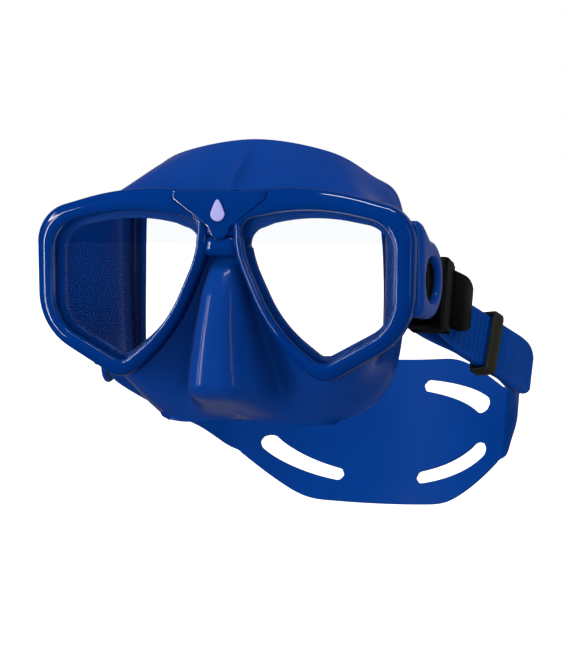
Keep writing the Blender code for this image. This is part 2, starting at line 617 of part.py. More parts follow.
def slot_outline(side, rise):
    """A crescent slot that follows an ellipse and narrows towards the pad's middle."""
    turn = np.linspace(SLOT_FROM, SLOT_TO, 9)
    width = np.linspace(SLOT_WIDE, SLOT_NARROW, 9) * 0.5
    width[[0, -1]] *= 0.55
    centre = np.stack([SLOT_A * np.cos(turn), SLOT_B * np.sin(turn)], axis=1)
    normal = np.stack([SLOT_B * np.cos(turn), SLOT_A * np.sin(turn)], axis=1)
    normal /= np.linalg.norm(normal, axis=1)[:, None]
    loop = np.concatenate([centre + normal * width[:, None], (centre - normal * width[:, None])[::-1]])
    return loop * (side, rise) + (0.0, PAD_DROP)


def make_keeper(side, label, swing):
    """The keeper, a black rectangular ring round the main band and the folded tail."""
    start, end, along, normal = straight_run()
    up = np.cross(normal, along)
    centre = start + along * (KEEPER_AT - start[1]) / along[1]
    inner = [(KEEPER_IN, -KEEPER_HALF), (KEEPER_OUT, -KEEPER_HALF), (KEEPER_OUT, KEEPER_HALF),
             (KEEPER_IN, KEEPER_HALF)]
    grow = [(-1.0, -1.0), (1.0, -1.0), (1.0, 1.0), (-1.0, 1.0)]
    outer = [(x + gx * KEEPER_WALL, z + gz * KEEPER_WALL) for (x, z), (gx, gz) in zip(inner, grow)]
    rings = []
    for loop, reach in ((outer, -0.5), (outer, 0.5), (inner, 0.5), (inner, -0.5)):
        rings.append([centre + normal * x + up * z + along * (KEEPER_LENGTH * reach) for x, z in loop])
    points = np.array(rings).reshape(-1, 3) * (side, 1.0, 1.0)
    add_mesh("strap_keeper_" + label, points, ring_faces(4, 4, closed=True), "keeper_black", swing)


# ---------------------------------------------------------------- assembly
def build():
    """Build every piece of the mask."""
    clear_scene()
    swing = bpy.data.objects.new("strap_axis", None)
    bpy.context.scene.collection.objects.link(swing)
    swing.location = (0.0, AXIS_Y, AXIS_Z)
    swing.rotation_euler = (-DROOP, 0.0, 0.0)
    make_skirt()
    make_bridge()
    make_strap(swing)
    for side, label in ((1.0, "left"), (-1.0, "right")):
        make_rim("rim_" + label, side)
        make_lens("lens_" + label, side)
        make_buckle(side, label, swing)
        make_keeper(side, label, swing)
    bpy.context.view_layer.update()


build()
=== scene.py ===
"""Finished look of a twin-lens diving mask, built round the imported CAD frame.

Frame: metres, +Z up. The mask faces -Y, and +X is the wearer's left. The origin is in the middle
of the face opening, 3 mm below its exact centre. The two sides mirror each other in X = 0.
"""
import json
import logging
import math
from dataclasses import dataclass, field
from enum import Enum
from typing import Any, Callable, Iterable, Sequence

import bmesh
import bpy
import numpy as np
from mathutils import Matrix, Vector


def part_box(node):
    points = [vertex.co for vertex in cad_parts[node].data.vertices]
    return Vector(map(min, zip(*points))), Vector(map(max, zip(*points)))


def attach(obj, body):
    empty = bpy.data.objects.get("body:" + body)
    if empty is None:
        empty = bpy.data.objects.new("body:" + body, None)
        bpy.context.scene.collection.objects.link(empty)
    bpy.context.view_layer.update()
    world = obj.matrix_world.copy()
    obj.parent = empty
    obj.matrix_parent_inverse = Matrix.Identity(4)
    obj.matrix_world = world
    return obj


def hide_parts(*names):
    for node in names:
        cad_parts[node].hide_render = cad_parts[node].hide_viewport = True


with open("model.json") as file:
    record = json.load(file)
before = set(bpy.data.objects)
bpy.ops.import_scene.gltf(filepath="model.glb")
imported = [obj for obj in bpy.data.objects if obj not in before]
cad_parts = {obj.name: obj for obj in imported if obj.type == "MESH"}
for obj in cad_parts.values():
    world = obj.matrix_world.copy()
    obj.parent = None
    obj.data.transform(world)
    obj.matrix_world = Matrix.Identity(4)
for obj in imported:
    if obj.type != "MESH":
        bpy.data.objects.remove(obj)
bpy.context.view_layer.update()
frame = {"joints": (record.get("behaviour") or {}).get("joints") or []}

Array = np.ndarray
LOG = logging.getLogger("diving_mask")
MM = 0.001                     # millimetres to metres
MM_PER_M = 1000.0


class Side(Enum):
    """One side of the wearer, with the sign of its X."""

    LEFT = 1.0
    RIGHT = -1.0

    @property
    def label(self) -> str:
        """The side's word in node and piece names."""
        return self.name.lower()


class Axis(Enum):
    """A row axis that an outline is drawn out along."""

    X = 0
    Y = 1
    Z = 2


class Slot(Enum):
    """Material slots of the record."""

    SKIRT = "silicone_blue"
    STRAP = "strap_silicone"
    FRAME = "frame_blue"
    GLASS = "lens_glass"
    BADGE = "badge_lavender"
    BUCKLE = "buckle_black"
    KEEPER = "keeper_black"
    PIN = "pin_steel"


# ---------------------------------------------------------------- places read from the frame
def joint_named(name: str) -> dict[str, Any]:
    """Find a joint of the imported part.

    Args:
        name: the joint's name.

    Returns:
        The joint's record.
    """
    return next(joint for joint in frame["joints"] if joint["name"] == name)


FACE_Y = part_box("rim_left")[0].y                       # front plane of the lens rims
AXIS_Y, AXIS_Z = joint_named("strap_swing")["pos_m"][1:]   # the axis that the strap swings on
LEVER_AXIS = joint_named("roller_spin_left")["axis"]
DROOP = math.atan2(LEVER_AXIS[1], LEVER_AXIS[2])       # how far the strap hangs at rest


def swing_down(points: Array) -> Array:
    """Turn points drawn level, with Y back from the ear axis, down about that axis by the droop.

    Args:
        points: rows of x, y, z, as the strap and buckles are drawn.

    Returns:
        The same rows in the row frame.
    """
    cosine, sine = math.cos(DROOP), math.sin(DROOP)
    x, y, z = points[..., 0], points[..., 1], points[..., 2]
    return np.stack([x, AXIS_Y + y * cosine + z * sine, AXIS_Z - y * sine + z * cosine], axis=-1)


# ---------------------------------------------------------------- curves and grids
def spline(points: Array, steps: int, before: Array, after: Array) -> Array:
    """Smooth curve through points (Catmull-Rom: each piece leaves along the chord of its neighbours).

    Args:
        points: the rows to pass through.
        steps: samples for each piece.
        before: a phantom row ahead of the first.
        after: a phantom row past the last.

    Returns:
        The sampled rows, with the last point itself.
    """
    chain = np.vstack([before, points, after]).astype(float)
    t = (np.arange(steps) / steps)[None, :, None]
    a, b, c, d = (chain[shift:len(chain) - 3 + shift, None, :] for shift in range(4))
    pieces = 0.5 * (2.0 * b + (c - a) * t + (2.0 * a - 5.0 * b + 4.0 * c - d) * t ** 2
                    + (3.0 * b - 3.0 * c + d - a) * t ** 3)
    return np.vstack([pieces.reshape(-1, chain.shape[1]), chain[-2:-1]])


def open_spline(points: Array, steps: int) -> Array:
    """Smooth curve through points whose ends run on in a straight line."""
    rows = np.asarray(points, dtype=float)
    return spline(rows, steps, 2.0 * rows[0] - rows[1], 2.0 * rows[-1] - rows[-2])


def soften(loop: Array, rounds: int = 2, cut: float = 0.25) -> Array:
    """Round the corners of closed loops: each side keeps its middle and its ends are cut off.

    Args:
        loop: points along the axis before last; any axes ahead of it are separate loops.
        rounds: how many times the corners are cut.
        cut: share of a side that is cut off at each end.

    Returns:
        The loops with twice as many points for each round.
    """
    for _ in range(rounds):
        after = np.roll(loop, -1, axis=-2)
        pair = np.stack([loop * (1.0 - cut) + after * cut, loop * cut + after * (1.0 - cut)], axis=-2)
        loop = pair.reshape(*loop.shape[:-2], -1, loop.shape[-1])
    return loop


def resample(path: Array, stations: Array) -> Array:
    """Rows of a path at given distances along it.

    Args:
        path: rows whose first three columns are a place.
        stations: distances from the start.

    Returns:
        One row for each station, with every column taken in proportion.
    """
    along = np.concatenate([[0.0], np.cumsum(np.linalg.norm(np.diff(path[:, :3], axis=0), axis=1))])
    return np.column_stack([np.interp(stations, along, column) for column in path.T])


def path_length(path: Array) -> float:
    """Length of a path's first three columns."""
    return float(np.linalg.norm(np.diff(path[:, :3], axis=0), axis=1).sum())


def smooth_step(value: Array, start: float, end: float) -> Array:
    """0 before start, 1 after end, and the cubic 3t^2 - 2t^3 between them."""
    t = np.clip((value - start) / (end - start), 0.0, 1.0)
    return t * t * (3.0 - 2.0 * t)


def circle(radius: float, count: int, centre: tuple[float, float] = (0.0, 0.0)) -> Array:
    """Points of a circle in the plane, anticlockwise."""
    turn = np.arange(count) * (2.0 * math.pi / count)
    return np.stack([centre[0] + radius * np.cos(turn), centre[1] + radius * np.sin(turn)], axis=1)


def quads(rows: int, columns: int, wrap_rows: bool = False, wrap_columns: bool = True) -> Array:
    """Corner numbers of the quads of a grid of points.

    Args:
        rows: rings or sections of the grid.
        columns: points in each.
        wrap_rows: whether the last row joins the first.
        wrap_columns: whether the last column joins the first.

    Returns:
        One row of four corners for each quad.
    """
    row = np.arange(rows if wrap_rows else rows - 1)[:, None]
    column = np.arange(columns if wrap_columns else columns - 1)[None, :]
    row_after, column_after = (row + 1) % rows, (column + 1) % columns
    corners = [row * columns + column, row * columns + column_after,
               row_after * columns + column_after, row_after * columns + column]
    return np.stack(corners, axis=-1).reshape(-1, 4)


@dataclass
class Surface:
    """Points and faces of a mesh; each face array holds faces of one size."""

    points: Array
    faces: list[Array]

    def placed(self, move: Callable[[Array], Array]) -> "Surface":
        """The same faces with their points moved."""
        return Surface(move(self.points), self.faces)

    def mirrored(self, side: Side) -> "Surface":
        """The surface for that side, its X mirrored for the wearer's right."""
        return self.placed(lambda points: points * (side.value, 1.0, 1.0))

    def joined(self, other: "Surface") -> "Surface":
        """Both surfaces as one."""
        shift = len(self.points)
        return Surface(np.vstack([self.points, other.points]),
                       self.faces + [faces + shift for faces in other.faces])


def tube(rings: Array) -> Surface:
    """A closed solid through rings of points, with each end ring filled by one face.

    Args:
        rings: array of ring, point round the ring, x y z.
    """
    count, around = rings.shape[:2]
    first = np.arange(around)[None, :]
    last = np.arange((count - 1) * around, count * around)[None, :]
    return Surface(rings.reshape(-1, 3), [quads(count, around), first, last])


def hoop(rings: Array) -> Surface:
    """A closed ring-shaped solid: sections carried round a loop that comes back to its start."""
    return Surface(rings.reshape(-1, 3), [quads(*rings.shape[:2], wrap_rows=True)])


def prism(outline: Array, low: float, high: float, axis: Axis) -> Surface:
    """A flat outline drawn out from low to high along an axis.

    Args:
        outline: points in the plane of the two other axes, in their X, Y, Z order.
        low: level of the first face.
        high: level of the second face.
        axis: the axis it is drawn out along.
    """
    rings = np.zeros((2, len(outline), 3))
    others = [index for index in range(3) if index != axis.value]
    rings[:, :, others] = np.asarray(outline, dtype=float)
    rings[:, :, axis.value] = np.array([[low], [high]])
    return tube(rings)


def cap_rings(outline: Array, centre: Array, profile: Sequence[tuple[float, float]]) -> Array:
    """Rings that close over a flat outline: each is the outline shrunk towards a centre, at a depth.

    Args:
        outline: x, z points round the piece.
        centre: x, z that the rings shrink towards.
        profile: pairs of share of the full size and depth along Y.

    Returns:
        Array of ring, point, x y z.
    """
    share, depth = (np.array(column)[:, None] for column in zip(*profile))
    x = centre[0] + share * (outline[:, 0] - centre[0])
    z = centre[1] + share * (outline[:, 1] - centre[1])
    return np.stack([x, np.broadcast_to(depth, x.shape), z], axis=-1)


# ---------------------------------------------------------------- meshes and pieces
def new_object(name: str, surface: Surface) -> bpy.types.Object:
    """Put a surface in a mesh object in the scene.

    Args:
        name: the object's name.
        surface: its points and faces.

    Returns:
        The linked object.
    """
    mesh = bpy.data.meshes.new(name)
    sizes = np.concatenate([np.full(len(faces), faces.shape[1]) for faces in surface.faces])
    corners = np.concatenate([faces.ravel() for faces in surface.faces]).astype(np.int32)
    starts = np.concatenate([[0], np.cumsum(sizes)[:-1]]).astype(np.int32)
    mesh.vertices.add(len(surface.points))
    mesh.vertices.foreach_set("co", np.ascontiguousarray(surface.points, dtype=np.float32).ravel())
    mesh.loops.add(len(corners))
    mesh.loops.foreach_set("vertex_index", corners)
    mesh.polygons.add(len(sizes))
    mesh.polygons.foreach_set("loop_start", starts)
    mesh.update(calc_edges=True)
    mesh.validate()
    made = bpy.data.objects.new(name, mesh)
    bpy.context.scene.collection.objects.link(made)
    return made


def clean(item: bpy.types.Object, merge: float = 0.00001, outward: bool = True) -> None:
    """Merge points closer than a distance and turn the faces outwards.

    Args:
        item: a mesh object.
        merge: distance below which points are one.
        outward: whether the normals are worked out again, for a closed solid.
    """
    work = bmesh.new()
    work.from_mesh(item.data)
    bmesh.ops.remove_doubles(work, verts=work.verts, dist=merge)
    if outward:
        bmesh.ops.recalc_face_normals(work, faces=work.faces)
    work.to_mesh(item.data)
    work.free()


def bake_modifiers(item: bpy.types.Object) -> None:
    """Apply every modifier, so that the mesh holds the finished shape."""
    bpy.context.view_layer.update()
    seen = item.evaluated_get(bpy.context.evaluated_depsgraph_get())
    mesh = bpy.data.meshes.new_from_object(seen)
    item.modifiers.clear()
    item.data = mesh


def cut(item: bpy.types.Object, tools: Iterable[Surface], operation: str = "DIFFERENCE") -> None:
    """Cut solids out of a piece, or join them to it, and apply the result.

    Args:
        item: the piece.
        tools: closed solids, taken one after the other.
        operation: DIFFERENCE or UNION.
    """
    for tool in tools:
        guide = new_object("guide", tool)
        clean(guide)
        step = item.modifiers.new(operation.lower(), "BOOLEAN")
        step.operation, step.solver, step.object = operation, "EXACT", guide
        bake_modifiers(item)
        bpy.data.objects.remove(guide, do_unlink=True)


def round_edges(item: bpy.types.Object, width: float, segments: int = 2, angle: float = 35.0) -> None:
    """Round a piece's sharp edges with a bevel, and apply it.

    Args:
        item: the piece.
        width: how far the bevel reaches from an edge, in metres.
        segments: facets across it.
        angle: edges sharper than this many degrees are rounded.
    """
    bevel = item.modifiers.new("rounding", "BEVEL")
    bevel.width, bevel.segments = width, segments
    bevel.limit_method, bevel.angle_limit = "ANGLE", math.radians(angle)
    bake_modifiers(item)


def dress(item: bpy.types.Object, finish: "Finish", smooth: float = 40.0) -> bpy.types.Object:
    """Give a piece its finish and smooth shading.

    Args:
        item: the piece.
        finish: what it is made of.
        smooth: edges sharper than this many degrees stay crisp.

    Returns:
        The same piece.
    """
    item.data.materials.clear()
    item.data.materials.append(finish.material())
    item.data.shade_smooth()
    item.data.set_sharp_from_angle(angle=math.radians(smooth))
    return item


def report(item: bpy.types.Object) -> None:
    """Log a finished piece with its number of faces."""
    LOG.info("%s: %d faces", item.name, len(item.data.polygons))


# ---------------------------------------------------------------- finishes
def linear(colour: str) -> tuple[float, float, float, float]:
    """A hex colour as linear light: each channel c is c/12.92 when dark, else ((c + 0.055)/1.055)^2.4.

    Args:
        colour: an sRGB value such as "#003082".

    Returns:
        Red, green, blue and an alpha of 1.
    """
    channels = np.array([int(colour[place:place + 2], 16) for place in (1, 3, 5)]) / 255.0
    light = np.where(channels <= 0.04045, channels / 12.92, ((channels + 0.055) / 1.055) ** 2.4)
    return (*(float(value) for value in light), 1.0)


def add_node(tree: bpy.types.NodeTree, kind: str, settings: dict[str, Any] | None = None,
             links: dict[Any, bpy.types.NodeSocket] | None = None) -> bpy.types.Node:
    """Add a node with its settings and the links into it.

    Args:
        tree: the material's or world's node tree.
        kind: the node's type.
        settings: properties by name, or input values by name or number after "=".
        links: output sockets by the name or number of the input that each goes to.

    Returns:
        The new node.
    """
    made = tree.nodes.new(kind)
    for name, value in (settings or {}).items():
        if isinstance(name, str) and not name.startswith("="):
            setattr(made, name, value)
        else:
            key = name[1:] if isinstance(name, str) else name
            made.inputs[int(key) if str(key).isdigit() else key].default_value = value
    for key, socket in (links or {}).items():
        tree.links.new(socket, made.inputs[key])
    return made


@dataclass(frozen=True)
class Finish:
    """A moulded material: a slow colour drift, fine roughness changes and a very fine skin texture.

    The base colour drifts between deep and base over drift_mm; the roughness wanders by
    rough_spread over smudge_mm; grain_mm is the size of the moulded skin and grain_high its height.
    """

    name: str
    slot: Slot
    base: str
    deep: str
    roughness: float
    ior: float = 1.5
    rough_spread: float = 0.05
    drift_mm: float = 30.0
    smudge_mm: float = 8.0
    grain_mm: float = 0.6
    grain_high: float = 0.004
    sheen: float = 0.0
    sheen_tint: str = "#FFFFFF"
    metallic: float = 0.0
    specular: float = 0.5

    def material(self) -> bpy.types.Material:
        """The material, made once."""
        return bpy.data.materials.get(self.name) or self.build()

    def build(self) -> bpy.types.Material:
        """Make the node tree: noise for the colour drift, noise for roughness and noise for the skin."""
        made = bpy.data.materials.new(self.name)
        made.use_nodes = True
        tree = made.node_tree
        shader = tree.nodes["Principled BSDF"]
        place = add_node(tree, "ShaderNodeTexCoord").outputs["Object"]
        drift, smudge, grain = (
            add_node(tree, "ShaderNodeTexNoise", {"=Scale": MM_PER_M / size, "=Detail": detail},
                     {"Vector": place}).outputs["Fac"]
            for size, detail in ((self.drift_mm, 2.0), (self.smudge_mm, 3.0), (self.grain_mm, 1.0)))
        colour = add_node(tree, "ShaderNodeMix", {"data_type": "RGBA", "=6": linear(self.deep),
                                                  "=7": linear(self.base)}, {0: drift})
        rough = add_node(tree, "ShaderNodeMapRange",
                         {"=To Min": self.roughness - self.rough_spread,
                          "=To Max": self.roughness + self.rough_spread}, {"Value": smudge})
        bump = add_node(tree, "ShaderNodeBump", {"=Strength": 1.0, "=Distance": self.grain_high * MM},
                        {"Height": grain})
        tree.links.new(colour.outputs[2], shader.inputs["Base Color"])
        tree.links.new(rough.outputs["Result"], shader.inputs["Roughness"])
        tree.links.new(bump.outputs["Normal"], shader.inputs["Normal"])
        for name, value in {"IOR": self.ior, "Metallic": self.metallic, "Specular IOR Level": self.specular,
                            "Sheen Weight": self.sheen, "Sheen Tint": linear(self.sheen_tint)}.items():
            shader.inputs[name].default_value = value
        return made


@dataclass(frozen=True)
class LensGlass(Finish):
    """Flat tempered glass: clear, with an even pale tint and faint cleaning marks in its gloss."""

    def build(self) -> bpy.types.Material:
        """Make the node tree: a transmitting shader whose roughness is a touch higher in patches."""
        made = bpy.data.materials.new(self.name)
        made.use_nodes = True
        tree = made.node_tree
        shader = tree.nodes["Principled BSDF"]
        place = add_node(tree, "ShaderNodeTexCoord").outputs["Object"]
        marks = add_node(tree, "ShaderNodeTexNoise", {"=Scale": MM_PER_M / self.smudge_mm, "=Detail": 4.0},
                         {"Vector": place})
        rough = add_node(tree, "ShaderNodeMapRange",
                         {"=From Min": 0.55, "=From Max": 0.80, "=To Min": self.roughness,
                          "=To Max": self.roughness + self.rough_spread}, {"Value": marks.outputs["Fac"]})
        tree.links.new(rough.outputs["Result"], shader.inputs["Roughness"])
        shader.inputs["Base Color"].default_value = linear(self.base)
        shader.inputs["IOR"].default_value = self.ior
        shader.inputs["Transmission Weight"].default_value = 1.0
        return made


# Liquid silicone rubber, injection moulded in polished steel: a soft gloss and a smooth skin.
MOULDED_SILICONE = Finish("moulded_silicone", Slot.SKIRT, base="#003A8A", deep="#00307A",
                          roughness=0.17, ior=1.41, rough_spread=0.02, specular=0.32,
                          sheen=0.10, sheen_tint="#8A8AF0", grain_mm=0.5, grain_high=0.002)
# The same rubber in the strap, thinner and a little brighter, with a finer satin skin.
STRAP_SILICONE = Finish("strap_silicone_rubber", Slot.STRAP, base="#003C8E", deep="#003482",
                        roughness=0.42, ior=1.41, rough_spread=0.05, specular=0.06,
                        grain_mm=0.4, grain_high=0.003)
# Polycarbonate rims, moulded with a polished face: a clear gloss with crisp highlights.
GLOSS_POLYCARBONATE = Finish("gloss_polycarbonate", Slot.FRAME, base="#00327E", deep="#002B72",
                             roughness=0.06, ior=1.58, rough_spread=0.015, specular=0.60,
                             grain_mm=0.8, grain_high=0.001)
# Tempered soda-lime glass, clear and flat. Its real IOR is about 1.52: 1.15 is set so that the
# lenses show almost no reflection.
TEMPERED_GLASS = LensGlass("tempered_glass", Slot.GLASS, base="#FBFDFF", deep="#FBFDFF",
                           roughness=0.0, ior=1.15, rough_spread=0.02, smudge_mm=25.0)
# Pad-printed inlay of pale lavender ABS, satin.
LAVENDER_ABS = Finish("lavender_abs", Slot.BADGE, base="#A6A6E4", deep="#9A9AD8", roughness=0.38,
                      rough_spread=0.04, grain_mm=0.3, grain_high=0.002)
# Glass-filled nylon, moulded with a fine spark-eroded texture: black, with a dull sheen.
BLACK_NYLON = Finish("black_glass_filled_nylon", Slot.BUCKLE, base="#060606", deep="#040404",
                     roughness=0.42, rough_spread=0.08, grain_mm=0.45, grain_high=0.018, specular=0.16)
# Acetal keeper, dark grey with a warm cast and a slightly polished face.
GREY_ACETAL = Finish("dark_grey_acetal", Slot.KEEPER, base="#2E2E26", deep="#24241D", roughness=0.34,
                     rough_spread=0.07, grain_mm=0.5, grain_high=0.010)
# Cold-drawn stainless wire, with fine draw marks.
STAINLESS_WIRE = Finish("stainless_wire", Slot.PIN, base="#C9C9CC", deep="#B4B4B8", roughness=0.30,
                        rough_spread=0.08, grain_mm=0.2, grain_high=0.004, metallic=1.0)


# ---------------------------------------------------------------- lens outlines
Corner = tuple[float, float, float]


@dataclass(frozen=True)
class LensOutline:
    """Two rounded outlines, the lens opening and the rim's outer edge, with points that pair up.

    Corners are x, z and radius in metres, from the inner top corner down the nose side.
    """

    opening: tuple[Corner, ...] = (
        (0.0088, 0.0290, 0.006), (0.0112, 0.0130, 0.040), (0.0240, -0.0150, 0.060),
        (0.0437, -0.0300, 0.007), (0.0742, -0.0135, 0.018), (0.0745, 0.0270, 0.013),
        (0.0400, 0.0345, 0.090))
    outer: tuple[Corner, ...] = (
        (0.0048, 0.0414, 0.003), (0.0056, 0.0165, 0.030), (0.0205, -0.0190, 0.080),
        (0.0440, -0.0382, 0.011), (0.0818, -0.0165, 0.027), (0.0828, 0.0322, 0.016),
        (0.0440, 0.0427, 0.120))
    arc_steps: int = 12
    side_steps: int = 12

    def rounded(self, corners: tuple[Corner, ...]) -> Array:
        """Arcs at the corners joined by straight sides: each arc touches both sides at r/tan(half angle).

        Args:
            corners: x, z, radius of each corner.

        Returns:
            x, z points, the same number for each corner.
        """
        rows = np.array(corners)
        here, radius = rows[:, :2], rows[:, 2:]
        before, after = np.roll(here, 1, axis=0) - here, np.roll(here, -1, axis=0) - here
        before /= np.linalg.norm(before, axis=1)[:, None]
        after /= np.linalg.norm(after, axis=1)[:, None]
        half = 0.5 * np.arccos(np.clip((before * after).sum(axis=1), -1.0, 1.0))[:, None]
        towards = (before + after) / np.linalg.norm(before + after, axis=1)[:, None]
        middle = here + towards * radius / np.sin(half)
        start = here + before * radius / np.tan(half) - middle
        turn = math.pi - 2.0 * half
        turn = np.where(start[:, :1] * after[:, 1:] < start[:, 1:] * after[:, :1], -turn, turn)
        angle = turn * np.linspace(0.0, 1.0, self.arc_steps + 1)
        cosine, sine = np.cos(angle), np.sin(angle)
        arcs = np.stack([middle[:, :1] + start[:, :1] * cosine - start[:, 1:] * sine,
                         middle[:, 1:] + start[:, :1] * sine + start[:, 1:] * cosine], axis=-1)
        share = (np.arange(1, self.side_steps) / self.side_steps)[None, :, None]
        sides = arcs[:, -1:] * (1.0 - share) + np.roll(arcs, -1, axis=0)[:, :1] * share
        loop = np.concatenate([arcs, sides], axis=1).reshape(-1, 2)
        return np.roll(loop, -(self.arc_steps // 2), axis=0)

    def across(self, share: float | Array) -> Array:
        """Outline at a share of the way from the opening (0) to the outer edge (1)."""
        share = np.asarray(share, dtype=float)[..., None, None]
        return self.rounded(self.opening) * (1.0 - share) + self.rounded(self.outer) * share


OUTLINE = LensOutline()


# ---------------------------------------------------------------- rims, lenses and bridge
@dataclass(frozen=True)
class ClipShape:
    """The shield that the bridge clip fills: flat top, straight seams and a rounded tip."""

    top_half: float = 0.0205
    top: float = 0.0409
    shoulder: float = 0.0378
    tip_half: float = 0.0046
    tip: float = 0.0243
    rear: float = 0.0015
    front: float = -0.0002
    centre: tuple[float, float] = (0.0, 0.0335)

    def outline(self, grow: float = 0.0) -> Array:
        """Points round the shield, grown by a gap: half circle at the tip, then straight sides.

        Args:
            grow: how far the outline moves out.

        Returns:
            x, z points, evenly spread along each side so that the crown can follow them.
        """
        tip = circle(self.tip_half + grow, 24, (0.0, self.tip + 0.0016))[12:]
        tip = np.vstack([tip, [[self.tip_half + grow, self.tip + 0.0016]]])
        half, shoulder, top = self.top_half + grow, self.shoulder - grow, self.top + grow
        corners = np.array([tip[-1], (half, shoulder), (half, top), (-half, top), (-half, shoulder),
                            tip[0]])
        steps = np.array([12, 3, 24, 3, 12])
        sides = [np.linspace(a, b, count + 1)[1:] for a, b, count in zip(corners, corners[1:], steps)]
        return np.vstack([tip, *sides])[:-1]

    def seat(self, gap: float) -> Surface:
        """The solid that the rims and link lose so that the clip lies flush."""
        return prism(self.outline(gap), FACE_Y - 0.004, FACE_Y + self.rear + gap, Axis.Y)


@dataclass
class LensRim:
    """One lens rim: opening wall, a narrow inner bevel, one broad soft land and a rounded shoulder.

    The front face is a section carried round the lens. Its points are a share of the way across
    and a depth behind the front plane.
    """

    side: Side
    clip: ClipShape = field(default_factory=ClipShape)
    gap: float = 0.0002
    section: tuple[tuple[float, float], ...] = (
        (0.00, 0.0040), (0.00, 0.0026), (0.01, 0.0016), (0.05, 0.0009), (0.09, 0.0004), (0.13, 0.0005),
        (0.20, 0.0001), (0.36, 0.0000), (0.50, 0.0001), (0.58, 0.0004), (0.78, 0.0010), (0.92, 0.0020),
        (1.00, 0.0040), (1.00, 0.0060), (1.00, 0.0074), (0.90, 0.0074), (0.78, 0.0074), (0.78, 0.0060),
        (0.78, 0.0040), (0.40, 0.0040))

    def rings(self) -> Array:
        """The softened section at every point round the lens: flat = opening (1 - share) + outer share."""
        section = soften(np.array(self.section), rounds=2)
        flat = OUTLINE.across(section[:, 0])
        depth = np.broadcast_to(section[:, 1:2], flat.shape[:2])
        rings = np.stack([flat[..., 0], FACE_Y + depth, flat[..., 1]], axis=-1)
        return rings.transpose(1, 0, 2)

    def build(self) -> bpy.types.Object:
        """Carry the section round, cut the clip's seat and dress the rim."""
        name = f"rim_{self.side.label}"
        rim = new_object(f"lens_{name}", hoop(self.rings()).mirrored(self.side))
        clean(rim)
        cut(rim, [self.clip.seat(self.gap)])
        dress(rim, GLOSS_POLYCARBONATE, smooth=50.0)
        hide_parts(name)
        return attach(rim, "mask")


@dataclass
class Lens:
    """One flat lens with a fine ground chamfer at its edge."""

    side: Side
    edge: float = 0.42
    front: float = 0.0043
    rear: float = 0.0073
    chamfer: float = 0.0003
    centre: tuple[float, float] = (0.0420, 0.0050)
    half_size: float = 0.03         # the lens's half size, which turns the chamfer into a share

    def build(self) -> bpy.types.Object:
        """Draw the outline out through four rings, the outer two inside the chamfer."""
        outline = OUTLINE.across(self.edge)
        small = 1.0 - self.chamfer / self.half_size
        profile = [(small, self.front), (1.0, self.front + self.chamfer),
                   (1.0, self.rear - self.chamfer), (small, self.rear)]
        rings = cap_rings(outline, np.array(self.centre),
                          [(share, FACE_Y + depth) for share, depth in profile])
        lens = new_object(f"glass_{self.side.label}", tube(rings).mirrored(self.side))
        clean(lens)
        dress(lens, TEMPERED_GLASS, smooth=20.0)
        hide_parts(f"lens_{self.side.label}")
        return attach(lens, "mask")


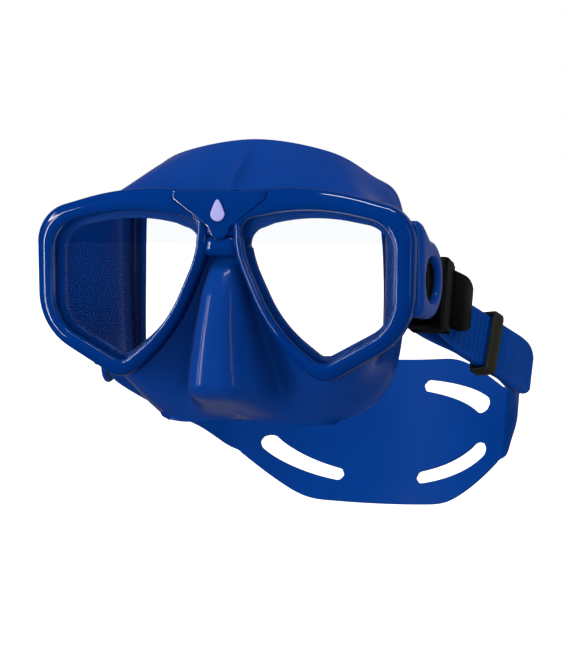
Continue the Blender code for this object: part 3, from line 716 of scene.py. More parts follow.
@dataclass
class Bridge:
    """The link between the rims with its saddle, the crowned clip and the plain droplet badge."""

    clip: ClipShape = field(default_factory=ClipShape)
    gap: float = 0.0002
    link_top: float = 0.0412
    link_bottom: float = 0.0142
    spread: float = 0.0017          # how far the link's face laps over the rims' shoulders
    link_rear: float = 0.0070
    saddle_top: float = 0.0226      # height at which the saddle starts to swell
    badge_half: float = 0.0031
    badge_low: float = 0.0285
    badge_high: float = 0.0374

    def link_front(self, z: Array) -> Array:
        """Depth of the link's face: a shallow hollow under the clip, then a rounded bar as the saddle."""
        span = (z - self.link_bottom) / (self.saddle_top - self.link_bottom)
        bar = 0.0036 - 0.0030 * np.sqrt(np.clip(1.0 - (2.0 * span - 1.0) ** 2, 0.0, 1.0))
        rise = 0.0016 - 0.0008 * smooth_step(z, self.saddle_top, self.saddle_top + 0.0015)
        top = 0.0020 * smooth_step(z, self.link_top - 0.0012, self.link_top)
        return np.where(span <= 1.0, bar, np.minimum(rise + 0.0010, rise + top))

    def build_link(self) -> bpy.types.Object:
        """A grid across and down between the two rims' nose sides, closed behind."""
        outer = OUTLINE.across(1.0)
        inner = outer[(outer[:, 0] < 0.0085) & (outer[:, 1] > 0.0100) & (outer[:, 1] < 0.0425)]
        inner = inner[np.argsort(inner[:, 1])]
        z = np.linspace(self.link_bottom, self.link_top, 70)
        half = np.interp(z, inner[:, 1], inner[:, 0]) - self.gap
        across = np.linspace(-1.0, 1.0, 21)
        depth = FACE_Y + self.link_front(z)[:, None] + 0.0022 * np.abs(across) ** 5
        height = np.repeat(z[:, None], 21, axis=1)
        front = np.stack([(half[:, None] + self.spread) * across, depth, height], axis=-1)
        rear = np.stack([half[:, None] * across, np.full(height.shape, FACE_Y + self.link_rear), height],
                        axis=-1)[:, ::-1]
        link = new_object("rim_link", tube(np.concatenate([front, rear], axis=1)))
        clean(link)
        cut(link, [self.clip.seat(self.gap)])
        dress(link, GLOSS_POLYCARBONATE, smooth=45.0)
        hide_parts("bridge_link")
        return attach(link, "mask")

    def build_clip(self) -> bpy.types.Object:
        """The shield with rounded edges and a low crown: depth rises as the square of the share out."""
        edge = self.clip.front + 0.0008
        crown = [(share, self.clip.front + 0.0004 * share ** 2) for share in np.linspace(0.95, 0.02, 14)]
        profile = [(0.96, self.clip.rear), (1.0, self.clip.rear - 0.0003), (1.0, edge),
                   (0.985, edge - 0.0003), *crown]
        rings = cap_rings(self.clip.outline(), np.array(self.clip.centre),
                          [(share, FACE_Y + depth) for share, depth in profile])
        clip = new_object("bridge_shield", tube(rings))
        clean(clip)
        dress(clip, GLOSS_POLYCARBONATE, smooth=40.0)
        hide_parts("bridge_clip")
        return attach(clip, "bridge")

    def build_badge(self) -> bpy.types.Object:
        """A droplet: a circle whose upper half is drawn up to a point, slightly domed."""
        middle = self.badge_low + self.badge_half
        drop = circle(self.badge_half, 48, (0.0, middle))
        rise = np.clip((drop[:, 1] - middle) / self.badge_half, 0.0, 1.0)
        drop[:, 1] += rise ** 1.6 * (self.badge_high - middle - self.badge_half)
        drop[:, 0] *= 1.0 - 0.35 * rise
        front = self.clip.front - 0.0008
        profile = [(0.97, front + 0.0007), (1.0, front + 0.0003), (0.97, front + 0.0001),
                   (0.80, front), (0.4, front), (0.05, front)]
        rings = cap_rings(drop, np.array([0.0, middle]),
                          [(share, FACE_Y + depth) for share, depth in profile])
        badge = new_object("droplet_badge", tube(rings))
        clean(badge)
        dress(badge, LAVENDER_ABS, smooth=35.0)
        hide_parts("bridge_badge")
        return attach(badge, "bridge")

    def build(self) -> list[bpy.types.Object]:
        """Build the link, the clip and the badge."""
        return [self.build_link(), self.build_clip(), self.build_badge()]


# ---------------------------------------------------------------- skirt
@dataclass
class Skirt:
    """The silicone skirt: lens seats, shell, nose pocket and sealing lip, mirrored in X = 0.

    Each spoke starts on a lens seat and ends at the rear edge or on the middle line. Edge rows
    are x, z, depth, radial lead, depth lag, waist and lip reach, once round a lens.
    """

    wall: float = 0.0020
    flange: float = 0.0077
    seat_shares: tuple[float, ...] = (-0.35, -0.10, 0.10, 0.30, 0.40)
    rows: int = 44
    lip_steps: int = 4
    edge: tuple[tuple[float, ...], ...] = (
        (0.0, 0.0400, math.nan, 1.0, 1.0, 0.0, 0.8), (0.0, 0.0250, math.nan, 1.0, 1.0, 0.0, 0.8),
        (0.0, 0.0090, math.nan, 1.0, 1.0, 0.0, 0.8), (0.0, -0.0090, math.nan, 1.0, 1.0, 0.0, 0.8),
        (0.0, -0.0300, math.nan, 1.0, 1.0, 0.0, 0.8), (0.0, -0.0548, 0.031, 1.0, 1.0, 0.0, 0.05),
        (0.0320, -0.0568, 0.036, 1.2, 1.1, 0.0, 0.05), (0.0510, -0.0490, 0.046, 1.2, 1.0, 0.001, 0.35),
        (0.0598, -0.0328, 0.053, 1.3, 0.9, 0.005, 0.75), (0.0630, 0.0055, 0.057, 1.3, 0.9, 0.0062, 1.0),
        (0.0605, 0.0372, 0.054, 1.3, 0.9, 0.005, 1.0), (0.0505, 0.0475, 0.047, 1.2, 1.0, 0.001, 0.9),
        (0.0330, 0.0575, 0.042, 1.2, 1.15, 0.0, 0.8), (0.0, 0.0628, 0.042, 1.2, 1.15, 0.0, 0.8))
    seam_bottom: int = 5
    seam_top: int = 13
    waist_centre: tuple[float, float] = (0.0300, 0.0050)
    bridge_z: float = 0.0135
    base_bottom: float = 0.031
    nose: tuple[tuple[float, float, float], ...] = (
        (0.0135, 0.0077, 0.0062), (0.0080, 0.0020, 0.0082), (0.0, -0.0030, 0.0108),
        (-0.0150, -0.0075, 0.0145), (-0.0300, -0.0104, 0.0180), (-0.0402, -0.0112, 0.0200),
        (-0.0425, -0.0085, 0.0204), (-0.0486, 0.0120, 0.0235), (-0.0548, 0.0310, 0.0270))
    nose_power: float = 3.2
    nose_blend: float = 0.0035
    nose_round: float = 0.0014      # how far the nose's profile is averaged up and down
    lip: tuple[tuple[float, float], ...] = (
        (0.0, 0.0), (0.0030, 0.0008), (0.0062, -0.0010), (0.0090, -0.0045))
    lip_trail: float = 0.0016

    @property
    def steps(self) -> int:
        """Spokes between two edge rows."""
        return (OUTLINE.arc_steps + OUTLINE.side_steps) // 2

    def middle_depth(self, z: Array) -> Array:
        """Depth on the middle line without the nose: flat behind the bridge, then powers of the distance."""
        top_z, top_depth = self.edge[self.seam_top][1:3]
        flat_z, bottom_z = self.edge[0][1], self.edge[self.seam_bottom][1]
        above = np.clip((z - flat_z) / (top_z - flat_z), 0.0, 1.0)
        below = np.clip((self.bridge_z - z) / (self.bridge_z - bottom_z), 0.0, 1.0)
        return (self.flange + (top_depth - self.flange) * above ** 1.2
                + (self.base_bottom - self.flange) * below ** 1.3)

    def edge_rows(self) -> Array:
        """The end of each spoke: a spline along the rear edge and straight stretches on the middle line."""
        rows = np.array(self.edge)
        rows[:, 2] = np.where(np.isnan(rows[:, 2]), self.middle_depth(rows[:, 1]), rows[:, 2])
        flip = np.array([-1.0, 1.0, 1.0, 1.0, 1.0, 1.0, 1.0])
        rear = rows[self.seam_bottom:self.seam_top + 1]
        rear_edge = spline(rear, self.steps, rear[1] * flip, rear[-2] * flip)
        seam = np.vstack([rows[self.seam_top:], rows[:self.seam_bottom + 1]])
        line = np.concatenate([np.linspace(a, b, self.steps, endpoint=False)
                               for a, b in zip(seam, seam[1:])])
        line[:, 2] = self.middle_depth(line[:, 1])
        return np.concatenate([line[self.steps:], rear_edge, line[1:self.steps]])

    def nose_profile(self, z: Array) -> tuple[Array, Array]:
        """Front depth and half width of the nose pocket at a height, averaged over a few near heights."""
        height, front, half = (np.array(column)[::-1] for column in zip(*self.nose))
        near = z[..., None] + np.linspace(-1.0, 1.0, 9) * self.nose_round
        weight = np.array([1, 2, 3, 4, 4, 4, 3, 2, 1]) / 24.0
        return np.interp(near, height, front) @ weight, np.interp(near, height, half) @ weight

    def with_nose(self, x: Array, z: Array, base: Array) -> Array:
        """The shell's depth with the nose pocket: the lesser of both depths, joined by a soft minimum."""
        nose_front, half = self.nose_profile(z)
        foot = self.middle_depth(z) + 0.001
        wall = nose_front + (foot - nose_front) * (np.abs(x) / half) ** self.nose_power
        wall = np.where(z > self.bridge_z + self.nose_round, 1.0, wall)
        mix = np.clip(0.5 + 0.5 * (base - wall) / self.nose_blend, 0.0, 1.0)
        return base * (1.0 - mix) + wall * mix - self.nose_blend * mix * (1.0 - mix)

    def settle(self, shell: Array, on_middle: Array, rounds: int) -> Array:
        """Even the shell out: each free point moves half way to the mean of its four neighbours.

        The seat and the rear edge stay where they are, and a point on the middle line sees its
        neighbour mirrored, so that both halves meet without a crease.

        Args:
            shell: grid of row, spoke, x depth z, from the seat outwards.
            on_middle: which spokes end on the middle line.
            rounds: how many times it is done.

        Returns:
            The evened grid.
        """
        grid = shell.copy()
        held = ~on_middle
        held[[self.seam_bottom * self.steps, self.seam_top * self.steps]] = True
        for _ in range(rounds):
            beyond = grid[-2:-1] * (-1.0, 1.0, 1.0)
            padded = np.concatenate([grid, beyond])
            mean = 0.25 * (padded[:-2] + padded[2:] + np.roll(padded, 1, axis=1)[1:-1]
                           + np.roll(padded, -1, axis=1)[1:-1])
            moved = 0.5 * (grid[1:] + mean)
            moved[-1, held] = grid[-1, held]
            moved[-1, on_middle, 0] = 0.0
            grid = np.concatenate([grid[:1], moved])
        return grid

    def half_shell(self) -> tuple[Array, Array]:
        """Grid of one half: flat seat rows, then spokes that lead outwards and lag in depth.

        Out = 1 - (1 - share)^lead and back = share^lag; the waist draws the wall in by
        sin^2(pi share) towards a point, and a spoke to the middle line eases to a level end.

        Returns:
            The grid of row, spoke, x depth z, and the edge row at the end of each spoke.
        """
        edge = self.edge_rows()
        seat_flat = OUTLINE.across(np.array(self.seat_shares))
        seats = np.stack([seat_flat[..., 0], np.full(seat_flat.shape[:2], self.flange), seat_flat[..., 1]],
                         axis=-1)
        seat = seats[-1]
        on_middle = np.abs(edge[:, 0]) < 1e-7
        ease = np.convolve(np.tile(on_middle.astype(float), 3), np.ones(9) / 9.0, "same")
        ease = ease[len(edge):2 * len(edge)]
        inward = np.array(self.waist_centre) - seat[:, [0, 2]]
        inward /= np.linalg.norm(inward, axis=1)[:, None]
        share = (np.arange(self.rows + 1) / self.rows)[:, None]
        out = 1.0 - (1.0 - share) ** edge[:, 3]
        back = share ** edge[:, 4]
        back = back * (1.0 - ease) + np.sin(0.5 * math.pi * share) ** 1.3 * ease
        waist = edge[:, 5] * np.sin(math.pi * share) ** 2
        x = seat[:, 0] * (1.0 - out) + edge[:, 0] * out + inward[:, 0] * waist
        z = seat[:, 2] * (1.0 - out) + edge[:, 1] * out + inward[:, 1] * waist
        base = seat[:, 1] * (1.0 - back) + edge[:, 2] * back
        shell = self.settle(np.stack([x, base, z], axis=-1), on_middle, rounds=24)
        shell[..., 1] = self.with_nose(shell[..., 0], shell[..., 2], shell[..., 1])
        shell = self.settle(shell, on_middle, rounds=3)
        return np.concatenate([seats[:-1], shell]), edge

    def lip_rows(self, contour: Array, share: Array) -> Array:
        """Rows of the lip: it curls inwards by a share of its reach, or trails straight back.

        Args:
            contour: the shell's rear edge, from the lower middle round to the upper middle.
            share: how much of the reach each spoke takes.

        Returns:
            Grid of row, spoke, x depth z.
        """
        along = np.gradient(contour[:, [0, 2]], axis=0)
        along[[0, -1], 1] = 0.0
        inward = np.stack([-along[:, 1], along[:, 0]], axis=1)
        inward /= np.linalg.norm(inward, axis=1)[:, None]
        curl = open_spline(np.array(self.lip), self.lip_steps)
        step = np.arange(len(curl)) / self.lip_steps
        rows = np.repeat(contour[None], len(curl), axis=0)
        rows[..., [0, 2]] += inward * (curl[:, :1] * share)[..., None]
        rows[..., 1] += curl[:, 1:] * share + step[:, None] * self.lip_trail * (1.0 - share)
        rows[:, [0, -1], 0] = 0.0
        return rows

    def build_shell(self) -> bpy.types.Object:
        """Both halves merged on the middle line, turned outwards, then given their wall."""
        shell, edge = self.half_shell()
        rear = slice(self.seam_bottom * self.steps, self.seam_top * self.steps + 1)
        lip = self.lip_rows(shell[-1, rear], edge[rear, 6])
        half = Surface(shell.reshape(-1, 3), [quads(*shell.shape[:2])])
        half = half.joined(Surface(lip.reshape(-1, 3), [quads(*lip.shape[:2], wrap_columns=False)]))
        half = half.placed(lambda points: points + (0.0, FACE_Y, 0.0))
        half.faces = [faces[:, ::-1] for faces in half.faces]
        other = half.mirrored(Side.RIGHT)
        other.faces = [faces[:, ::-1] for faces in other.faces]
        skirt = new_object("skirt_shell", half.joined(other))
        clean(skirt, merge=0.00002, outward=False)
        wall = skirt.modifiers.new("wall", "SOLIDIFY")
        wall.thickness, wall.offset = self.wall, -1.0
        bake_modifiers(skirt)
        dress(skirt, MOULDED_SILICONE, smooth=60.0)
        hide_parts("skirt")
        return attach(skirt, "mask")

    def build(self) -> list[bpy.types.Object]:
        """Build the shell and both ears."""
        return [self.build_shell(), *(Ear(side).build() for side in Side)]


@dataclass
class Ear:
    """A side ear of the skirt: a thick soft ring round the swivel hole, on a neck behind the rim."""

    side: Side
    inner: float = 0.0785
    outer: float = 0.0840
    radius: float = 0.0160
    hole: float = 0.0092
    neck_half: float = 0.0148
    web_slope: float = 0.72         # rise of the neck's upper edge for each step forward
    neck_front: float = -0.0419     # Y at which the neck meets the rim's rear
    root_inner: float = 0.0725
    around: int = 120

    def reach(self, turn: Array) -> Array:
        """Outer radius by direction: the ring's circle, or the neck towards the rim, softened.

        The neck's upper edge rises forwards, where r up = neck_half + slope r forward.
        """
        forward, up = -np.cos(turn), np.sin(turn)
        front = np.where(forward > 0.05, (AXIS_Y - self.neck_front) / np.maximum(forward, 0.05), 1.0)
        rise = np.abs(up) - np.where(up > 0.0, self.web_slope, 0.0) * forward
        side = np.where(rise > 0.05, self.neck_half / np.maximum(rise, 0.05), 1.0)
        box = np.minimum(front, side)
        reach = np.where(forward > 0.0, np.maximum(self.radius, box), self.radius)
        kernel = np.ones(5) / 5.0
        return np.convolve(np.concatenate([reach[-2:], reach, reach[:2]]), kernel, "valid")

    def build(self) -> bpy.types.Object:
        """Carry a soft-cornered section round the hole; in the neck its inner side steps in to the shell."""
        turn = np.arange(self.around) * (2.0 * math.pi / self.around)
        reach = self.reach(turn)
        forward = smooth_step(-np.cos(turn), 0.45, 0.85)
        root = self.inner + (self.root_inner - self.inner) * forward
        one = np.ones(self.around)
        wide = reach - self.hole
        corners = [
            (self.hole * one, self.inner * one), (self.hole * one, self.outer * one - 0.0016),
            (self.hole + 0.0005 * one, self.outer * one - 0.0004),
            (self.hole + 0.24 * wide, self.outer * one),
            (self.hole + 0.62 * wide, self.outer * one - 0.0001),
            (self.hole + 0.86 * wide, self.outer * one - 0.0007 - 0.0006 * forward),
            (reach - 0.0001, self.outer * one - 0.0022 - 0.0008 * forward),
            (reach, self.inner + 0.0012 * one),
            (reach, root), (self.hole + 0.80 * wide, root - 0.0004 * forward),
            (self.hole + 0.45 * wide, self.inner * one)]
        radius = np.stack([corner[0] for corner in corners], axis=1)
        level = np.stack([corner[1] for corner in corners], axis=1)
        section = soften(np.stack([radius, level], axis=-1), rounds=2)
        cosine, sine = np.cos(turn)[:, None], np.sin(turn)[:, None]
        rings = np.stack([section[..., 1], AXIS_Y + section[..., 0] * cosine,
                          AXIS_Z + section[..., 0] * sine], axis=-1)
        ear = new_object(f"skirt_ear_{self.side.label}", hoop(rings).mirrored(self.side))
        clean(ear)
        dress(ear, MOULDED_SILICONE, smooth=60.0)
        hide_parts("skirt")
        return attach(ear, "mask")


# ---------------------------------------------------------------- buckles
@dataclass
class Buckle:
    """One swivel buckle, drawn level with Y back from the ear axis: frame, cap, roller, lever, pin."""

    side: Side
    hub_r: float = 0.0106
    hub_in: float = 0.0748
    hub_out: float = 0.0780
    web_half: float = 0.0100
    boss_r: float = 0.0086
    boss_out: float = 0.0800
    cap_out: float = 0.0818
    cheek_in: float = 0.0126
    cheek_out: float = 0.0146
    frame_in: float = 0.0675
    frame_out: float = 0.0840
    frame_front: float = 0.0168
    frame_wall: float = 0.0194
    frame_rear: float = 0.0318
    cover_in: float = 0.0812
    cover_rear: float = 0.0264
    roller: tuple[float, float] = (0.0700, 0.0260)
    roller_r: float = 0.0030
    roller_half: float = 0.0122
    roller_pin_r: float = 0.0012
    pin: tuple[float, float] = (0.0826, 0.0295)
    pin_r: float = 0.0012
    lever_half: float = 0.0118
    gap: float = 0.0004
    lever_outline: tuple[tuple[float, float], ...] = (
        (-0.0026, -0.0012), (-0.0006, -0.0024), (0.0014, -0.0022), (0.0024, 0.0002),
        (0.0046, 0.0080), (0.0056, 0.0165), (0.0042, 0.0176), (0.0030, 0.0120),
        (0.0014, 0.0050), (-0.0018, 0.0030), (-0.0034, 0.0022))

    def placed(self, surface: Surface) -> Surface:
        """The surface on this side, swung down to the strap's rest angle."""
        return surface.mirrored(self.side).placed(swing_down)

    def finish_piece(self, item: bpy.types.Object, finish: Finish, node: str, body: str) -> bpy.types.Object:
        """Dress a buckle piece, put it in place of its node and ride it on its body."""
        dress(item, finish, smooth=35.0)
        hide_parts(f"{node}_{self.side.label}")
        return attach(item, f"{body}_{self.side.label}")

    def build_body(self) -> bpy.types.Object:
        """The frame: a box with a roller window, on a hub and web, with rounded edges."""
        box = [(self.frame_in, self.frame_front), (self.frame_out - 0.0012, self.frame_front),
               (self.frame_out, self.frame_front + 0.0012), (self.frame_out, self.cover_rear),
               (self.frame_out - 0.0008, self.frame_rear), (self.frame_in + 0.0008, self.frame_rear),
               (self.frame_in, self.frame_rear - 0.0010)]
        body = new_object(f"buckle_frame_{self.side.label}",
                          prism(np.array(box), -self.cheek_out, self.cheek_out, Axis.Z))
        clean(body)
        hub = prism(circle(self.hub_r, 64), self.hub_in, self.hub_out, Axis.X)
        web = prism(np.array([(0.0, -self.web_half), (self.frame_front + 0.001, -self.web_half),
                              (self.frame_front + 0.001, self.web_half), (0.0, self.web_half)]),
                    self.hub_in + self.gap, self.hub_out - self.gap, Axis.X)
        boss = prism(circle(self.boss_r, 64), self.hub_out - 0.001, self.boss_out, Axis.X)
        cut(body, [hub, web, boss], "UNION")
        window = prism(np.array([
            (self.frame_in - 0.002, self.frame_wall), (self.cover_in, self.frame_wall),
            (self.cover_in, self.cover_rear), (self.frame_out + 0.002, self.cover_rear),
            (self.frame_out + 0.002, self.frame_rear + 0.002),
            (self.frame_in - 0.002, self.frame_rear + 0.002)]),
            -self.cheek_in, self.cheek_in, Axis.Z)
        bores = [prism(circle(radius + self.gap, 24, centre), -0.02, 0.02, Axis.Z)
                 for radius, centre in ((self.roller_pin_r, self.roller), (self.pin_r, self.pin))]
        cut(body, [window, *bores])
        clean(body)
        round_edges(body, 0.0005)
        body.data.transform(self.turn())
        clean(body)
        return self.finish_piece(body, BLACK_NYLON, "buckle_body", "buckle")

    def turn(self) -> Matrix:
        """The matrix that mirrors for the side and swings down, for meshes that are already cut."""
        cosine, sine = math.cos(DROOP), math.sin(DROOP)
        return Matrix(((self.side.value, 0.0, 0.0, 0.0), (0.0, cosine, sine, AXIS_Y),
                       (0.0, -sine, cosine, AXIS_Z), (0.0, 0.0, 0.0, 1.0)))

    def build_cap(self) -> bpy.types.Object:
        """The swivel cap: a dished disc with a rounded rim and a driver recess."""
        start = self.boss_out + self.gap
        radius = self.boss_r - 0.0004
        profile = [(0.0, start), (radius - 0.0002, start), (radius, start + 0.0003),
                   (radius, self.cap_out - 0.0004), (radius - 0.0004, self.cap_out),
                   (radius - 0.0012, self.cap_out),
                   (radius - 0.0020, self.cap_out - 0.0006), (0.0032, self.cap_out - 0.0005),
                   (0.0028, self.cap_out - 0.0002), (0.0, self.cap_out - 0.0001)]
        return self.finish_piece(self.turned(f"swivel_disc_{self.side.label}", profile, Axis.X, (0.0, 0.0)),
                                 BLACK_NYLON, "swivel_cap", "buckle")

    def turned(self, name: str, profile: Sequence[tuple[float, float]], axis: Axis,
               centre: tuple[float, float]) -> bpy.types.Object:
        """A profile of radius and level spun about an axis through a centre.

        Args:
            name: the piece's name.
            profile: radius and level pairs from one end to the other.
            axis: X or Z, drawn level.
            centre: the two other coordinates of the axis.

        Returns:
            The closed piece, placed on this side.
        """
        unit = circle(1.0, 48)
        radius, level = (np.array(column)[:, None] for column in zip(*profile))
        radius = np.maximum(radius, 0.00002)
        flat = unit[None] * radius[..., None] + np.array(centre)
        level = np.broadcast_to(level, flat.shape[:2])
        rings = (np.stack([level, flat[..., 0], flat[..., 1]], axis=-1) if axis is Axis.X
                 else np.stack([flat[..., 0], flat[..., 1], level], axis=-1))
        made = new_object(name, self.placed(tube(rings)))
        clean(made, merge=0.000001)
        return made

    def build_roller(self) -> bpy.types.Object:
        """The roller: a barrel with chamfered ends between two journal pins."""
        ends = [(self.roller_pin_r, self.cheek_out - self.gap), (self.roller_pin_r, self.roller_half),
                (self.roller_r - 0.0004, self.roller_half), (self.roller_r, self.roller_half - 0.0004)]
        profile = [(0.0, ends[0][1]), *ends, *[(radius, -level) for radius, level in reversed(ends)],
                   (0.0, -ends[0][1])]
        barrel = self.turned(f"roller_barrel_{self.side.label}", profile, Axis.Z, self.roller)
        return self.finish_piece(barrel, BLACK_NYLON, "strap_roller", "roller")

    def build_pin(self) -> bpy.types.Object:
        """The lever's steel pin with domed ends."""
        half = self.cheek_out - self.gap
        ends = [(0.0, half), (self.pin_r * 0.6, half - 0.0001), (self.pin_r, half - 0.0004)]
        profile = [*ends, *[(radius, -level) for radius, level in reversed(ends)]]
        return self.finish_piece(self.turned(f"steel_pin_{self.side.label}", profile, Axis.Z, self.pin),
                                 STAINLESS_WIRE, "lever_pin", "buckle")

    def build_lever(self) -> bpy.types.Object:
        """The lever: a curved wing with a softened side outline, whose width narrows to its free end."""
        outline = soften(np.array(self.lever_outline), rounds=2) + np.array(self.pin)
        wing = prism(outline, -self.lever_half, self.lever_half, Axis.Z)
        share = np.clip((wing.points[:, 1] - self.pin[1] - 0.006) / 0.0116, 0.0, 1.0)
        wing.points[:, 2] *= 1.0 - 0.40 * share ** 2.5
        lever = new_object(f"release_wing_{self.side.label}", wing)
        clean(lever)
        cut(lever, [prism(circle(self.pin_r + self.gap, 24, self.pin), -0.02, 0.02, Axis.Z)])
        round_edges(lever, 0.0006, angle=50.0)
        lever.data.transform(self.turn())
        clean(lever)
        return self.finish_piece(lever, BLACK_NYLON, "release_lever", "lever")

    def build(self) -> list[bpy.types.Object]:
        """Build the five pieces of the buckle."""
        return [self.build_body(), self.build_cap(), self.build_roller(), self.build_lever(),
                self.build_pin()]


# ---------------------------------------------------------------- strap and keepers
@dataclass
class Strap:
    """The head strap, drawn level: ribbed tails, the wrap round each roller, arms and the slotted pad.

    Path rows are x, y back from the ear axis, z and half width; the left half is drawn and mirrored.
    """

    band: float = 0.0022
    pad: float = 0.0018
    tail: float = 0.0024
    tail_half: float = 0.0113
    tail_path: tuple[tuple[float, ...], ...] = (
        (0.0998, 0.1060, -0.0144, 0.0113), (0.0993, 0.1000, -0.0137, 0.0118),
        (0.0976, 0.0910, -0.0126, 0.0120), (0.0948, 0.0821, -0.0111, 0.0114))
    start: tuple[float, float, float] = (0.0802, 0.0507, -0.0066)
    end: tuple[float, float, float] = (0.0924, 0.0830, -0.0111)
    tail_offset: float = 0.0027
    tail_front: tuple[tuple[float, ...], ...] = (
        (0.0790, 0.0410, -0.0036, 0.0113), (0.0762, 0.0330, -0.0010, 0.0113))
    main_front: tuple[tuple[float, ...], ...] = (
        (0.0660, 0.0325, -0.0006, 0.0113), (0.0695, 0.0385, -0.0026, 0.0115),
        (0.0745, 0.0440, -0.0046, 0.0115))
    main_rear: tuple[tuple[float, ...], ...] = (
        (0.0938, 0.0940, -0.0125, 0.0118), (0.0928, 0.1070, -0.0135, 0.0122),
        (0.0880, 0.1300, -0.0152, 0.0128), (0.0822, 0.1500, -0.0166, 0.0133),
        (0.0765, 0.1670, -0.0178, 0.0138))
    wrap_centre: tuple[float, float] = (0.0700, 0.0260)
    wrap_r: float = 0.00445
    pad_y_middle: float = 0.2160
    pad_end: float = 0.0700
    pad_end_y: float = 0.1848
    pad_flat: float = 0.0340
    pad_half_middle: float = 0.0365
    pad_half_end: float = 0.0145
    pad_taper: float = 1.3
    pad_drop: float = -0.0200
    pad_ellipse: float = 0.0965
    pad_soft: float = 0.0060        # how far the pad's outline is averaged along it
    slot_a: float = 0.0600
    slot_b: float = 0.0246
    slot_turn: tuple[float, float] = (math.radians(20.0), math.radians(72.0))
    slot_wide: float = 0.0092
    slot_narrow: float = 0.0060
    rib_pitch: float = 0.0032
    rib_high: float = 0.0007
    tab_round: float = 0.0110       # how far back the tab's rounded end reaches
    tab_lip: float = 0.0008
    close_length: float = 0.110     # the tail's share of the path, sampled closely for its ribs
    close_step: float = 0.00045
    wide_step: float = 0.0016

    def straight(self) -> tuple[Array, Array, Array, Array]:
        """Start, end, direction and sideways normal of the stretch that the keeper slides on."""
        start, end = np.array(self.start), np.array(self.end)
        along = (end - start) / np.linalg.norm(end - start)
        normal = np.array([along[1], -along[0], 0.0])
        return start, end, along, normal / np.linalg.norm(normal)

    def pad_y(self, x: Array) -> Array:
        """Distance of the pad behind the axis: a shallow ellipse round the head."""
        sag = 1.0 - math.sqrt(1.0 - (self.pad_end / self.pad_ellipse) ** 2)
        drop = (self.pad_y_middle - self.pad_end_y) / sag
        return self.pad_y_middle - drop * (1.0 - np.sqrt(1.0 - (x / self.pad_ellipse) ** 2))

    def pad_half(self, x: Array) -> Array:
        """Half height of the pad: even in the middle, then a softened taper down to the arms."""
        near = np.abs(x)[..., None] + np.linspace(-1.0, 1.0, 9) * self.pad_soft
        share = np.clip((near - self.pad_flat) / (self.pad_end - self.pad_flat), 0.0, 1.0) ** self.pad_taper
        return self.pad_half_middle + (self.pad_half_end - self.pad_half_middle) * share.mean(axis=-1)

    def path(self) -> Array:
        """Middle line of the left half: x, y, z, half width, thickness and how much of it is tail.

        Returns:
            Rows from the tail's end, round the roller and along the arm, to the pad's middle.
        """
        start, end, _, normal = self.straight()
        run = np.column_stack([start + (end - start) * share for share in np.linspace(0.0, 1.0, 6)]).T
        run = np.column_stack([run, np.full(6, 0.0113)])
        tail_run = run[::-1] + np.append(normal * self.tail_offset, 0.0)
        turn = np.radians(np.array([10.0, -30.0, -70.0, -110.0, -150.0, -185.0]))
        wrap = np.column_stack([self.wrap_centre[0] + self.wrap_r * np.cos(turn),
                                self.wrap_centre[1] + self.wrap_r * np.sin(turn),
                                np.zeros(6), np.full(6, self.tail_half)])
        tail = np.vstack([self.tail_path, tail_run[1:], self.tail_front])
        x = np.linspace(self.pad_end, 0.0, 16)
        pad = np.column_stack([x, self.pad_y(x), np.full(16, self.pad_drop), self.pad_half(x)])
        main = np.vstack([self.main_front, run, self.main_rear])
        thick = np.concatenate([np.full(len(tail), self.tail), np.full(len(wrap) + len(main), self.band),
                                np.full(len(pad), self.pad)])
        is_tail = np.concatenate([np.ones(len(tail)), np.zeros(len(wrap) + len(main) + len(pad))])
        rows = np.column_stack([np.vstack([tail, wrap, main, pad]), thick, is_tail])
        mirror = rows[-2] * (-1.0, 1.0, 1.0, 1.0, 1.0, 1.0)
        return spline(rows, 14, 2.0 * rows[0] - rows[1], mirror)

    def stations(self, path: Array) -> tuple[Array, Array]:
        """The path sampled closely on the tail and wider on the arm and pad, with distances."""
        length = path_length(path)
        close = np.arange(0.0, self.close_length, self.close_step)
        wide = np.linspace(self.close_length, length, int((length - self.close_length) / self.wide_step))
        along = np.concatenate([close, wide])
        return resample(path, along), along

    def section(self, count: int = 15) -> tuple[Array, Array]:
        """A stadium: flat outer and inner faces and half-round edges, as across and through shares."""
        turn = np.radians(np.linspace(0.0, 180.0, 9))
        flat = np.linspace(-1.0, 1.0, count)
        across = np.concatenate([flat[:-1], np.ones(9), flat[::-1][1:-1], -np.ones(9)])
        edge = np.concatenate([np.zeros(count - 1), np.sin(turn), np.zeros(count - 2), -np.sin(turn)])
        through = np.concatenate([np.ones(count - 1), np.cos(turn), -np.ones(count - 2), -np.cos(turn)])
        return np.stack([across, edge], axis=1), through

    def relief(self, along: Array, tail: Array, across: Array) -> Array:
        """Height of the tail's outer face below its crests: ribs, the tab's lip and its dimple.

        Args:
            along: distance of each station from the tail's end.
            tail: how much of each station is tail.
            across: place across the band, from -1 to 1.

        Returns:
            Grid of station and place, in metres, to take off the outer face.
        """
        phase = np.mod(along, self.rib_pitch) / self.rib_pitch
        crest = smooth_step(phase, 0.10, 0.24) * (1.0 - smooth_step(phase, 0.62, 0.76))
        ribbed = smooth_step(along, 0.0255, 0.0270) * (1.0 - smooth_step(along, 0.074, 0.076))
        groove = self.rib_high * (1.0 - crest) * ribbed * tail
        inside = 1.0 - smooth_step(np.abs(across), 0.90, 0.97)
        rib = groove[:, None] * inside[None, :]
        sunk = smooth_step(along, 0.0038, 0.0052) * (1.0 - smooth_step(along, 0.0200, 0.0220))
        lip = (self.tab_lip * sunk)[:, None] * (1.0 - smooth_step(np.abs(across), 0.76, 0.90))[None, :]
        oval = np.exp(-((along[:, None] - 0.0095) / 0.0022) ** 2 - ((across[None, :] + 0.35) / 0.16) ** 2)
        return rib + lip + 0.0005 * oval

